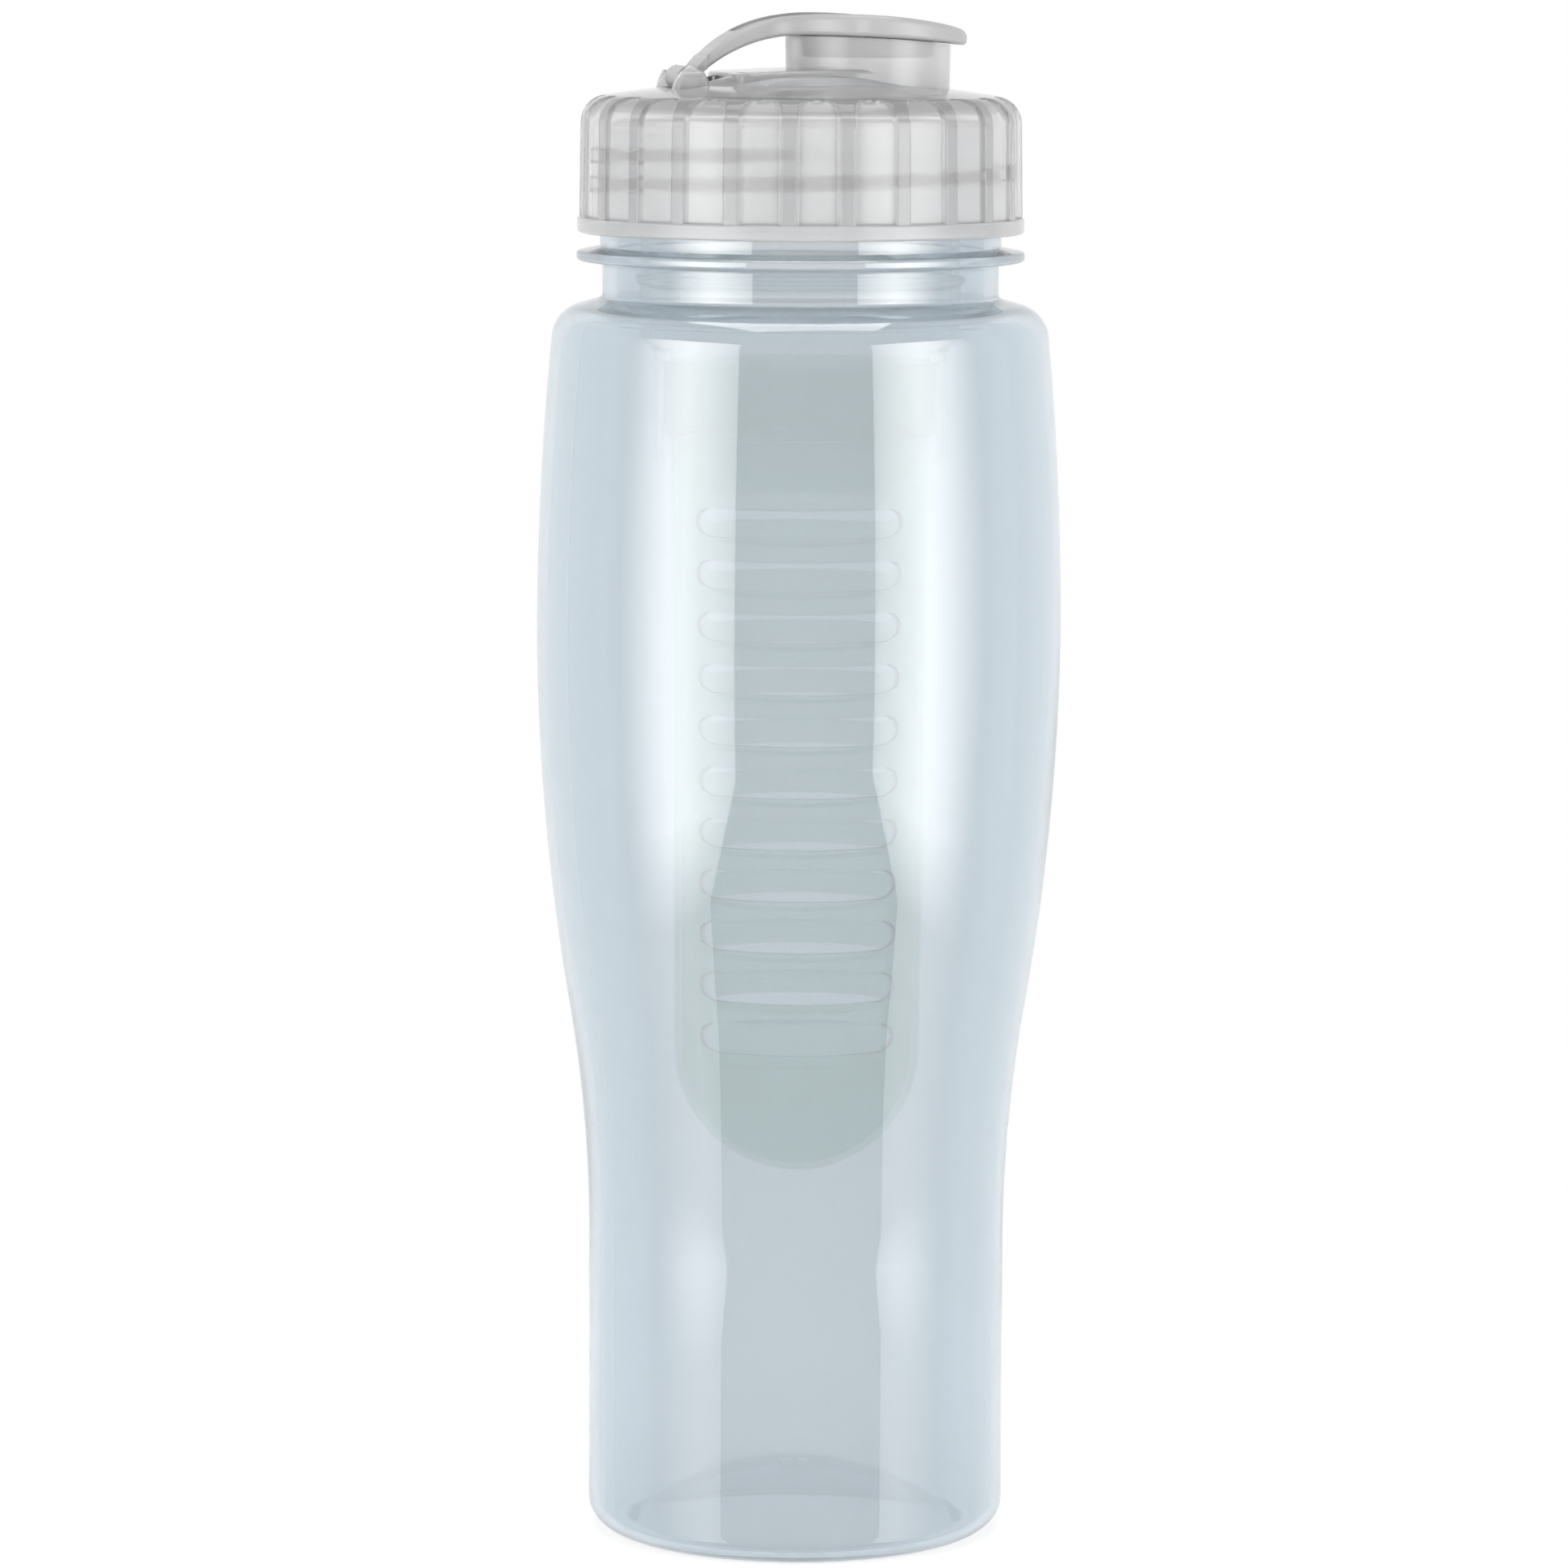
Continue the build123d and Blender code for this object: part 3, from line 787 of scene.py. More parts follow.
@dataclass
class InfuserBasket:
    """The slotted cup that holds the fruit."""

    top: float = 182.0
    head_radius: float = 21.0
    head_length: float = 12.0
    head_bevel: float = 0.9
    tube_radius: float = 19.9
    foot_radius: float = 18.9
    length: float = 125.7
    tip_radius: float = 5.0
    tip_drop: float = 0.5
    wall: float = 1.2
    slots: int = 11
    slot_height: float = 4.3
    slot_pitch: float = 7.91
    slot_first_drop: float = 24.0
    slot_widths: Place = (30.2, 28.2)
    slot_turn: float = math.radians(-12)
    lip_round: float = 0.3
    slot_round: float = 0.25
    slot_overrun: float = 3.0
    slot_steps: int = 18
    slot_end_steps: int = 12
    slot_lead: float = 0.2
    slot_rim: tuple[Place, ...] = ((-0.2, 1.0), (0.0, 0.7), (0.2, 0.4), (0.5, 0.13), (1.0, 0.0))
    columns: int = 192

    def skin(self, inset: float) -> list[Place]:
        """Samples the cup from its head down to the tip.

        Args:
            inset: Distance inside the outer skin.

        Returns:
            The points of (radius, height).
        """
        head_foot = self.top - self.head_length
        tip = self.top - self.length
        points: list[Place] = [(self.tube_radius - inset, head_foot)]
        points += straight(points[-1], (self.foot_radius - inset, tip + self.foot_radius), step=1.6)
        points += tangent_arc(points[-1], (self.tip_radius, tip + self.tip_drop + inset), (0, -1), step=0.9)
        return points + straight(points[-1], (0.0, tip + inset), step=0.8)

    def outline(self) -> list[Place]:
        """Samples the section from the outer tip over the head to the inner tip.

        Returns:
            The points of (radius, height).
        """
        head_foot = self.top - self.head_length
        outer = list(reversed(self.skin(0)))
        outer += polyline([outer[-1], (self.head_radius, head_foot + self.head_bevel),
                           (self.head_radius, self.top)], step=1.0)
        bore = self.head_radius - self.wall
        outer += polyline([outer[-1], (bore, self.top), (bore, head_foot + self.head_bevel),
                           (self.tube_radius - self.wall, head_foot)], step=1.0)
        whole = outer[:-1] + self.skin(self.wall)
        whole = soften(whole, (self.head_radius, self.top), self.lip_round)
        return soften(whole, (bore, self.top), self.lip_round)

    def skin_radius(self, level: float) -> float:
        """Gives the outer radius of the tube at a height.

        Args:
            level: Height in millimetres.

        Returns:
            The radius, in millimetres.
        """
        head_foot = self.top - self.head_length
        tube_foot = self.top - self.length + self.foot_radius
        share = (head_foot - level) / (head_foot - tube_foot)
        return self.tube_radius + share * (self.foot_radius - self.tube_radius)

    def slot_bar(self, mesh: bmesh.types.BMesh, width: float, level: float, side: int) -> None:
        """Adds one bar that cuts one slot with rounded rims through one side of the tube.

        Args:
            mesh: The mesh that gets the bar.
            width: Width of the slot.
            level: Height of its middle.
            side: -1 for the front of the tube, 1 for the back.
        """
        half = self.slot_height / 2
        run = width / 2 - half
        rim: list[tuple[float, float, float, float]] = []
        for end in (1, -1):
            for step in range(self.slot_end_steps + 1):
                turn = math.pi * (step / self.slot_end_steps - 0.5)
                rim.append((end * run, level, end * math.cos(turn), end * math.sin(turn)))
            for step in range(1, self.slot_steps):
                rim.append((end * run * (1 - 2 * step / self.slot_steps), level, 0.0, float(end)))
        soft = self.slot_round
        skins = [(-self.wall - self.slot_lead * soft, soft, -self.slot_overrun)]
        skins += [(soft * deep - self.wall, soft * grow, 0.0) for deep, grow in self.slot_rim]
        skins += [(-soft * deep, soft * grow, 0.0) for deep, grow in reversed(self.slot_rim)]
        skins += [(self.slot_lead * soft, soft, self.slot_overrun)]
        layers = []
        for depth, grow, push in skins:
            layer = []
            for across, up, run_x, run_z in rim:
                across += (half + grow) * run_x
                up += (half + grow) * run_z
                reach = self.skin_radius(up) + depth
                away = math.sqrt(reach**2 - across**2) + push
                layer.append(mesh.verts.new((across, side * away, up)))
            layers.append(layer)
        for near, far in zip(layers, layers[1:]):
            band(mesh, near, far)
        for layer in (layers[0], layers[-1]):
            nearest = min(abs(v.co.y) for v in layer)
            furthest = max(abs(v.co.y) for v in layer)
            hub = mesh.verts.new((0, side * (nearest if layer is layers[0] else furthest), level))
            band(mesh, layer, [hub])

    def slot_tool(self) -> bmesh.types.BMesh:
        """Makes the bars that cut the slots in the front and the back of the tube.

        Returns:
            The mesh, in millimetres.
        """
        mesh = bmesh.new()
        for k in range(self.slots):
            share = k / (self.slots - 1)
            width = self.slot_widths[0] + share * (self.slot_widths[1] - self.slot_widths[0])
            level = self.top - self.slot_first_drop - k * self.slot_pitch
            for side in (-1, 1):
                self.slot_bar(mesh, width, level, side)
        bmesh.ops.rotate(mesh, cent=(0, 0, 0), matrix=Matrix.Rotation(self.slot_turn, 3, "Z"),
                         verts=mesh.verts)
        return mesh

    def build(self) -> bpy.types.Object:
        """Makes the basket's mesh.

        Returns:
            The new object.
        """
        piece = finish_mesh("basket", turned(self.outline(), even_angles(self.columns)))
        combine(piece, self.slot_tool(), Merge.CUT)
        return piece


@dataclass
class FlipLid:
    """The lid: arched strap and disc, barrel and pin, and the plug ring."""

    spout_offset: float = 10.4
    spout_bore: float = 10.9
    disc_radius: float = 15.1
    pin_offset: float = 18.4
    pin_height: float = 224.9
    pin_radius: float = 1.05
    pin_length: float = 12.75
    barrel_radius: float = 1.9
    strap_width: float = 9.4
    strap_blend: float = 7.0
    foot_angle: float = math.radians(20)
    top_angle: float = math.radians(55)
    crest: Place = (-0.5, 231.6)
    droop: float = 1.95
    thickness: float = 3.2
    end_thickness: float = 1.95
    top_lead: float = 4.0
    knee_run_share: float = 0.324
    knee_drop_share: float = 0.045
    bevel: float = 0.7
    top_round: float = 1.0
    rim_start: float = 16.0
    recess: float = 0.45
    recess_margin: float = 1.3
    recess_start: float = 11.5
    plug_depth: float = 3.4
    plug_wall: float = 1.1
    plug_top_gap: float = 0.4
    plug_foot_gap: float = 1.0
    plug_lap: float = 0.3
    plug_round: float = 0.3
    overrun: float = 2.0
    rim_spare: float = 0.6
    rim_steps: int = 6
    blend_steps: int = 8
    disc_steps: int = 40
    rod_sides: int = 48
    plug_columns: int = 120
    crisp_angle: float = math.radians(35)

    @property
    def end_offset(self) -> float:
        """Where the side outline ends, past the disc."""
        return self.spout_offset + self.disc_radius + self.overrun

    def barrel_place(self, angle: float, drop: float) -> Place:
        """Gives a place on the barrel, lowered by drop."""
        height = self.pin_height + self.barrel_radius * math.sin(angle) - drop
        return -self.pin_offset + self.barrel_radius * math.cos(angle), height

    def underside(self, drop: float) -> list[Place]:
        """Samples the underside from the front end to the barrel.

        Args:
            drop: How far it is lowered, in millimetres.

        Returns:
            The points of (x, z).
        """
        crest = (self.crest[0], self.crest[1] - drop)
        front = tangent_arc(crest, (self.end_offset, crest[1] - self.droop), (1, 0), step=0.5)
        back = tangent_arc(crest, self.barrel_place(self.foot_angle, drop), (-1, 0), step=0.5)
        return list(reversed(front)) + [crest] + back

    def top(self, drop: float) -> list[Place]:
        """Samples the top from the front end to the barrel.

        Args:
            drop: How far it is lowered, in millimetres.

        Returns:
            The points of (x, z).
        """
        crest = (self.crest[0] + self.top_lead, self.crest[1] + self.thickness - drop)
        end = (self.end_offset, self.crest[1] - self.droop + self.end_thickness - drop)
        root = self.barrel_place(self.top_angle, drop)
        knee = (crest[0] + self.knee_run_share * (root[0] - crest[0]),
                crest[1] + self.knee_drop_share * (root[1] - crest[1]))
        front = tangent_arc(crest, end, (1, 0), step=0.5)
        flat = tangent_arc(crest, knee, (-1, 0), step=0.5)
        before = flat[-2] if len(flat) > 1 else crest
        heading = (flat[-1][0] - before[0], flat[-1][1] - before[1])
        return list(reversed(front)) + [crest] + flat + tangent_arc(knee, root, heading, step=0.5)

    def plan(self, margin: float) -> list[Place]:
        """Samples the plan of strap and disc, this far inside its edge.

        Args:
            margin: Distance inside the edge, in millimetres.

        Returns:
            The closed outline of (x, y).
        """
        radius = self.disc_radius - margin
        half = self.strap_width / 2 - margin
        blend = self.strap_blend + margin
        back = -self.pin_offset - self.barrel_radius
        drop = half + blend
        run = math.sqrt((radius + blend) ** 2 - drop**2)
        joint = self.spout_offset - run
        turn = math.atan2(drop, -run)
        side: list[Place] = [(back, half)]
        side += straight(side[-1], (joint, half), step=0.8)
        for k in range(1, self.blend_steps + 1):
            angle = -math.pi / 2 + (turn - math.pi / 2) * k / self.blend_steps
            side.append((joint + blend * math.cos(angle), drop + blend * math.sin(angle)))
        for k in range(1, self.disc_steps + 1):
            angle = turn * (1 - k / self.disc_steps)
            side.append((self.spout_offset + radius * math.cos(angle), radius * math.sin(angle)))
        mirrored = [(x, -y) for x, y in reversed(side[:-1])]
        return side + mirrored

    def rim_cutter(self, line: Sequence[Place], radius: float, upward: bool) -> bmesh.types.BMesh:
        """Makes the cut that rounds the upper or the lower rim.

        Args:
            line: Places along the top or the underside, from the front end to the barrel.
            radius: Radius of the rounding, in millimetres.
            upward: True for the rim of the top.

        Returns:
            A closed bar along the rim, hollowed to the rounding.
        """
        up = 1 if upward else -1
        spare = self.rim_spare
        section = [(spare, -spare), (spare, radius), (0.0, radius)]
        for k in range(1, self.rim_steps + 1):
            angle = math.pi / 2 * k / self.rim_steps
            section.append((radius * (math.cos(angle) - 1), radius * (1 - math.sin(angle))))
        section.append((-radius, -spare))
        rims = [[p for p in self.plan(-out) if p[0] > -self.rim_start] for out, _ in section]
        count = min(len(rim) for rim in rims)
        rims = [rim[(len(rim) - count) // 2:][:count] for rim in rims]
        mesh = bmesh.new()
        rows = []
        for place in range(count):
            row = []
            for rim, (_, down) in zip(rims, section):
                x, y = rim[place]
                row.append(mesh.verts.new((x, y, level_at(line, x) - up * down)))
            rows.append(row)
        for first, second in zip(rows, rows[1:]):
            band(mesh, first, second)
        mesh.faces.new(rows[0])
        mesh.faces.new(rows[-1])
        bmesh.ops.recalc_face_normals(mesh, faces=mesh.faces)
        return mesh

    def build(self) -> bpy.types.Object:
        """Makes the lid's mesh.

        Returns:
            The new object.
        """
        outline = self.top(0) + [(-self.pin_offset, self.pin_height)] + list(reversed(self.underside(0)))
        reach = self.disc_radius + self.overrun
        low = self.pin_height - self.barrel_radius
        high = self.crest[1] + 2 * self.thickness
        piece = finish_mesh("lid", prism(outline, -reach, reach))
        combine_all(piece, [
            (prism(self.plan(0), low, high, upright=True), Merge.KEEP),
            (self.rim_cutter(self.underside(0), self.bevel, upward=False), Merge.CUT),
            (self.rim_cutter(self.top(0), self.top_round, upward=True), Merge.CUT),
        ])
        lowered = self.top(self.recess)
        cover = lowered + [(lowered[-1][0], high), (self.end_offset, high)]
        hollow = finish_mesh("hollow", prism(cover, -reach, reach))
        plan = [p for p in self.plan(self.recess_margin) if p[0] > -self.recess_start]
        combine(hollow, prism(plan, low, high, upright=True), Merge.KEEP)
        tool = bmesh.new()
        tool.from_mesh(hollow.data)
        tool.transform(Matrix.Scale(1 / MM, 4))
        discard(hollow)
        combine_all(piece, [
            (tool, Merge.CUT),
            (self.rod(self.barrel_radius, self.strap_width), Merge.JOIN),
            (self.rod(self.pin_radius, self.pin_length), Merge.JOIN),
            (self.plug(), Merge.JOIN),
        ])
        smooth_shading(piece.data, self.crisp_angle)
        return piece

    def rod(self, radius: float, length: float) -> bmesh.types.BMesh:
        """Makes a rod round the hinge axis.

        Args:
            radius: Radius of the rod, in millimetres.
            length: Its length.

        Returns:
            The mesh, in millimetres.
        """
        rim = [(-self.pin_offset + radius * math.cos(a), self.pin_height + radius * math.sin(a))
               for a in even_angles(self.rod_sides)]
        return prism(rim, -length / 2, length / 2)

    def plug(self) -> bmesh.types.BMesh:
        """Makes the ring under the disc.

        Returns:
            The mesh, in millimetres.
        """
        top = self.crest[1] + self.plug_lap
        foot = self.crest[1] - self.plug_depth
        outer_top = self.spout_bore - self.plug_top_gap
        outer_foot = self.spout_bore - self.plug_foot_gap
        ring = polyline([(outer_top - self.plug_wall, top), (outer_top, top), (outer_foot, foot),
                         (outer_foot - self.plug_wall, foot), (outer_top - self.plug_wall, top)], step=0.5)
        for corner in ((outer_foot, foot), (outer_foot - self.plug_wall, foot)):
            ring = soften(ring, corner, self.plug_round)
        return turned(ring, even_angles(self.plug_columns), centre=self.spout_offset)


@dataclass
class ScrewCap:
    """The ribbed cap with its crown, saddle, spout and hinge ears."""

    lid: FlipLid
    ceiling: float = 219.8
    bottom: float = 201.4
    bore: float = 31.9
    rib_radius: float = 34.0
    rib_depth: float = 0.8
    rib_width: float = 2.3
    ribs: int = 24
    draft: float = 0.3
    ring_height: float = 2.4
    ring_proud: float = 0.25
    corner_round: float = 4.2
    corner_rise: float = 2.0
    inner_round: float = 2.4
    arch_angle: float = math.radians(45)
    arch_top: float = 2.9
    arch_rise: float = 4.6
    panel_edge: float = 0.55
    rib_share: float = 0.27
    ring_share: float = 0.18
    crown_foot: Place = (19.2, 4.0)
    crown_edge: Place = (12.4, 5.69)
    crown_rise: float = 6.1
    lid_wall: float = 1.4
    land_width: float = 5.4
    hollow_radius: float = 11.6
    hollow_rise: float = 4.2
    spout_radius: float = 12.5
    spout_flare: float = 0.2
    saddle_back: float = 12.5
    saddle_back_rise: float = 6.0
    saddle_front_rise: float = 6.7
    saddle_round: float = 0.7
    saddle_corner: float = 2.0
    upright_slope: float = 0.2
    level_slope: float = 0.8
    seat_gap: float = 0.2
    pin_fit: float = 0.08
    slip_gap: float = 0.35
    ear_width: float = 5.6
    ear_plate: float = 1.5
    ear_cheek: float = 1.9
    ear_tip_rise: float = 2.0
    ear_post_rise: float = 1.15
    ear_post_lead: float = 1.7
    ear_throat: float = 1.7
    ear_throat_angle: float = math.radians(62)
    ear_bulge_share: float = 0.9
    ear_round: float = 0.7
    well_back: float = 21.3
    well_front: float = 12.5
    well_wall: float = 1.5
    well_height: float = 7.0
    ring_round: float = 0.5
    ring_top_round: float = 0.35
    rib_foot: Place = (0.05, 0.35)
    crown_steps: int = 12
    arch_floor: float = 0.35
    panel_lead: float = 0.35
    level_margin: float = 0.01
    skin_margin: float = 0.02
    column_steps: tuple[float, ...] = (
        0.0, 0.55, 0.85, 1.02, 1.16, 1.3, 1.44, 1.58, 1.8, 2.15, 2.6, 3.1, 3.7, 4.2)
    column_half_rib: float = 1.15
    column_gap: float = 0.006
    bore_columns: int = 240
    spout_columns: int = 160
    ear_steps: int = 10
    hole_sides: int = 40
    margin: float = 0.1
    bore_reach: float = 0.3
    bore_overrun: float = 1.0
    hole_overrun: float = 1.0
    ear_lap: float = 0.01
    cut_overrun: float = 5.0
    rim_overrun: float = 3.0
    cut_reach: float = 20.0
    crisp_angle: float = math.radians(38)
    thread: Thread = field(default_factory=lambda: Thread(
        height=1.3, crest_width=1.5, root_width=2.5, top_level=214.2))

    @property
    def ring_top(self) -> float:
        """Height of the top of the lower ring."""
        return self.bottom + self.ring_height

    @property
    def ear_foot(self) -> float:
        """Height where saddle, spout and ears start inside the crown."""
        return self.ceiling + self.crown_foot[1] - self.lid_wall

    def skin_outline(self) -> list[Place]:
        """Samples the outer skin from the foot's axis up and in to the crown's axis.

        Returns:
            The points of (radius, height).
        """
        ring = self.rib_radius + self.ring_proud
        corner = (self.rib_radius - self.draft, self.ceiling + self.corner_rise)
        foot = (self.crown_foot[0], self.ceiling + self.crown_foot[1])
        edge = (self.crown_edge[0], self.ceiling + self.crown_edge[1])
        points: list[Place] = [(0.0, self.bottom)]
        points += polyline([points[0], (ring, self.bottom)], step=4.0)
        points += polyline([points[-1], (ring, self.ring_top)], step=0.6)
        points += polyline([points[-1], (self.rib_radius, self.ring_top)], step=0.5)
        rib_foot = (self.rib_radius - self.rib_foot[0], self.ring_top + self.rib_foot[1])
        points += straight(points[-1], rib_foot, step=0.2)
        points += straight(points[-1], corner, step=0.45)
        points += straight(points[-1], foot, step=0.35)
        points = soften(points, corner, self.corner_round)
        points = soften(points, (ring, self.bottom), self.ring_round)
        points = soften(points, (ring, self.ring_top), self.ring_top_round)
        slope = (foot[1] - corner[1]) / (foot[0] - corner[0])
        for k in range(1, self.crown_steps + 1):
            share = k / self.crown_steps
            base = foot[0] + (edge[0] - foot[0]) * share
            line_foot = foot[1] + slope * (base - foot[0])
            line_edge = edge[1] + slope * (base - edge[0])
            points.append((base, line_foot + (line_edge - line_foot) * smooth(share)))
        summit = (0.0, self.ceiling + self.crown_rise)
        arc = tangent_arc(summit, edge, (1, 0), step=1.6)
        return points + list(reversed(arc[:-1])) + [summit]

    def panel_depth(self, angle: float, radius: float, level: float) -> float:
        """Gives how deep the arched panels lie below the ribs at a place, as a negative relief.

        Args:
            angle: Angle round the axis.
            radius: Distance from the axis, in millimetres.
            level: Height in millimetres.

        Returns:
            The change of radius, in millimetres.
        """
        on_ring = level < self.ring_top + self.level_margin and radius > self.rib_radius + self.skin_margin
        if on_ring or level < self.ring_top - self.level_margin or radius < self.crown_foot[0]:
            return 0.0
        pitch = FULL_TURN / self.ribs
        local = (angle + pitch / 2) % pitch - pitch / 2
        rib_to_rib = pitch / 2 - abs(local)
        panel_radius = self.rib_radius - self.rib_depth
        half = (panel_radius * pitch - self.rib_width) / 2
        across = radius * math.sin(rib_to_rib)
        beside = half - across
        out = radius - (self.rib_radius - self.draft)
        up = level - (self.ceiling + self.corner_rise)
        along = up * math.cos(self.arch_angle) - out * math.sin(self.arch_angle)
        bend = math.sqrt(max(0.0, 1 - (across / half) ** 2))
        above = self.arch_top - self.arch_rise + self.arch_rise * bend - along
        inside = min(beside, above * max(self.arch_floor, bend))
        return -self.rib_depth * smooth(inside / self.panel_edge + self.panel_lead)

    def skin_angles(self) -> list[float]:
        """Lists the columns of the skin, closer together along the edges of the ribs.

        Returns:
            The sorted angles.
        """
        pitch = FULL_TURN / self.ribs
        scale = self.rib_width / 2 / self.column_half_rib / self.rib_radius
        offsets = [s * scale for s in self.column_steps if s * scale < pitch / 2 - self.column_gap]
        angles = []
        for rib in range(self.ribs):
            base = rib * pitch
            angles += [(base + o) % FULL_TURN for o in offsets]
            angles += [(base - o) % FULL_TURN for o in offsets[1:]]
            angles.append((base + pitch / 2) % FULL_TURN)
        return sorted(angles)

    def saddle(self) -> bmesh.types.BMesh:
        """Makes the raised back of the spout.

        Returns:
            The mesh, in millimetres.
        """
        front = (self.lid.spout_offset, self.ceiling + self.saddle_front_rise)
        back = (-self.saddle_back, self.ceiling + self.saddle_back_rise)
        outline = [front] + tangent_arc(front, back, (-1, 0), step=1.5)
        outline += [(-self.saddle_back, self.ear_foot), (self.lid.spout_offset, self.ear_foot)]
        mesh = prism(outline, -self.spout_radius, self.spout_radius)
        upright = [e for e in mesh.edges if lies_at(e, 0, -self.saddle_back)
                   and abs(e.verts[0].co.z - e.verts[1].co.z) > TOUCH]
        round_edges(mesh, upright, self.saddle_corner, steps=6)
        rim = []
        for edge in mesh.edges:
            slopes = sorted(face.normal.z for face in edge.link_faces)
            level_and_upright = abs(slopes[0]) < self.upright_slope and slopes[-1] > self.level_slope
            if level_and_upright and not lies_at(edge, 0, self.lid.spout_offset):
                rim.append(edge)
        round_edges(mesh, rim, self.saddle_round, steps=4)
        bmesh.ops.recalc_face_normals(mesh, faces=mesh.faces)
        return mesh

    def spout(self) -> bmesh.types.BMesh:
        """Makes the solid of the spout, up past the lid's crest.

        Returns:
            The mesh, in millimetres.
        """
        high = self.lid.crest[1]
        outline = [(0.0, self.ear_foot)]
        outline += straight(outline[-1], (self.spout_radius, self.ear_foot), step=4)
        outline += straight(outline[-1], (self.spout_radius + self.spout_flare, high), step=0.8)
        outline += straight(outline[-1], (0.0, high), step=4)
        return turned(outline, even_angles(self.spout_columns), centre=self.lid.spout_offset)

    def hollow(self) -> bmesh.types.BMesh:
        """Makes the room inside the cap, with the thread left standing.

        Returns:
            The mesh, in millimetres.
        """
        land = self.bore - self.inner_round - self.land_width
        lid_height = self.ceiling + self.lid_wall
        top = self.ceiling + self.hollow_rise
        low = self.bottom - self.bore_overrun
        points: list[Place] = [(0.0, low)]
        points += straight(points[-1], (self.bore, low), step=8)
        points += straight(points[-1], (self.bore, self.ceiling), step=0.26)
        points += polyline([points[-1], (land, self.ceiling), (land, lid_height),
                            (self.hollow_radius, lid_height), (self.hollow_radius, top),
                            (0.0, top)], step=1.0)
        points = soften(points, (self.bore, self.ceiling), self.inner_round)

        def relief(angle: float, radius: float, level: float) -> float:
            """Leaves the cap's own thread standing in the bore."""
            return -self.thread.rise(angle, level) if radius > self.bore - self.margin else 0.0

        return turned(points, even_angles(self.bore_columns), relief)

    def bore_tool(self) -> bmesh.types.BMesh:
        """Makes the bar that opens the spout.

        Returns:
            The mesh, in millimetres.
        """
        low, high = self.ceiling, self.lid.crest[1] + self.cut_overrun
        outline = [(0.0, low), (self.lid.spout_bore, low), (self.lid.spout_bore, high), (0.0, high)]
        return turned(outline, even_angles(self.spout_columns), centre=self.lid.spout_offset)

    def rim_tool(self) -> bmesh.types.BMesh:
        """Makes the cut that gives the spout's rim the curve of the closed lid.

        Returns:
            The mesh, in millimetres.
        """
        under = self.lid.underside(self.seat_gap)
        high = self.lid.crest[1] + self.rim_overrun
        cover = [(under[-1][0], high), (under[0][0], high)]
        return prism(under + cover, -self.cut_reach, self.cut_reach)

    def ear_outline(self, top: tuple[Place, Place]) -> list[Place]:
        """Samples an ear from the side, between its foot and the two ends of its top.

        Args:
            top: The rear and the front end of its top.

        Returns:
            The closed outline of (x, z).
        """
        half = self.ear_width / 2
        bulge = self.ear_bulge_share * half
        pin = -self.lid.pin_offset
        level = (self.ear_foot + self.lid.pin_height + self.ear_post_rise) / 2
        back = three_point_arc((pin - half, self.ear_foot), (pin - bulge, level), top[0], self.ear_steps)
        front = three_point_arc(top[1], (pin + bulge, level), (pin + half, self.ear_foot), self.ear_steps)
        return back + front

    def ear(self, side: int) -> list[tuple[bmesh.types.BMesh, Merge]]:
        """Makes the solids of one ear and its cuts.

        Args:
            side: 1 or -1, the side of the strap.

        Returns:
            The solids in order, each with how it is combined.
        """
        pin, level = -self.lid.pin_offset, self.lid.pin_height
        face = self.lid.strap_width / 2 + self.slip_gap
        post = (pin + self.ear_post_lead, level + self.ear_post_rise)
        claw = self.ear_outline(((pin, level + self.ear_tip_rise), post))
        cheek = self.ear_outline(((pin - self.ear_post_lead, level + self.ear_post_rise), post))
        bore = self.lid.pin_radius + self.pin_fit
        hole = [(pin + bore * math.cos(a), level + bore * math.sin(a)) for a in even_angles(self.hole_sides)]
        cos, sin = math.cos(self.ear_throat_angle), math.sin(self.ear_throat_angle)
        half = self.ear_throat / 2
        throat = [(pin + a * cos - b * sin, level + a * sin + b * cos)
                  for a, b in ((0, -half), (self.ear_width, -half), (self.ear_width, half), (0, half))]
        outer = face + self.ear_plate
        ends = (outer, outer + self.ear_cheek)
        cheek_mesh = prism(cheek, *sorted((side * ends[0], side * ends[1])))
        rim = [e for e in cheek_mesh.edges if lies_at(e, 1, side * ends[1])
               and max(v.co.z for v in e.verts) > self.ear_foot + self.margin]
        round_edges(cheek_mesh, rim, self.ear_round, steps=4)
        return [
            (prism(claw, *sorted((side * face, side * (outer + self.ear_lap)))), Merge.JOIN),
            (prism(hole, *sorted((side * (face - self.hole_overrun), side * outer))), Merge.CUT),
            (prism(throat, *sorted((side * (face - self.hole_overrun), side * outer))), Merge.CUT),
            (cheek_mesh, Merge.JOIN),
        ]

    def well(self) -> bmesh.types.BMesh:
        """Makes the cut under the hinge.

        Returns:
            The mesh, in millimetres.
        """
        half = self.lid.strap_width / 2 + self.slip_gap
        plan = [(-self.well_back, -half), (-self.well_front, -half), (-self.well_front, half),
                (-self.well_back, half)]
        floor = self.ceiling + self.lid_wall + self.well_wall
        return prism(plan, floor, floor + self.well_height, upright=True)

    def build(self) -> bpy.types.Object:
        """Makes the cap's mesh.

        Returns:
            The new object.
        """
        piece = finish_mesh("cap", turned(self.skin_outline(), self.skin_angles(), self.panel_depth))
        combine_all(piece, [
            (self.saddle(), Merge.JOIN), (self.spout(), Merge.JOIN), (self.hollow(), Merge.CUT),
            (self.bore_tool(), Merge.CUT), (self.rim_tool(), Merge.CUT),
            *self.ear(1), *self.ear(-1), (self.well(), Merge.CUT),
        ])
        smooth_shading(piece.data, self.crisp_angle)
        mark_plastic_and_painted_light(piece, self.thickness)
        return piece

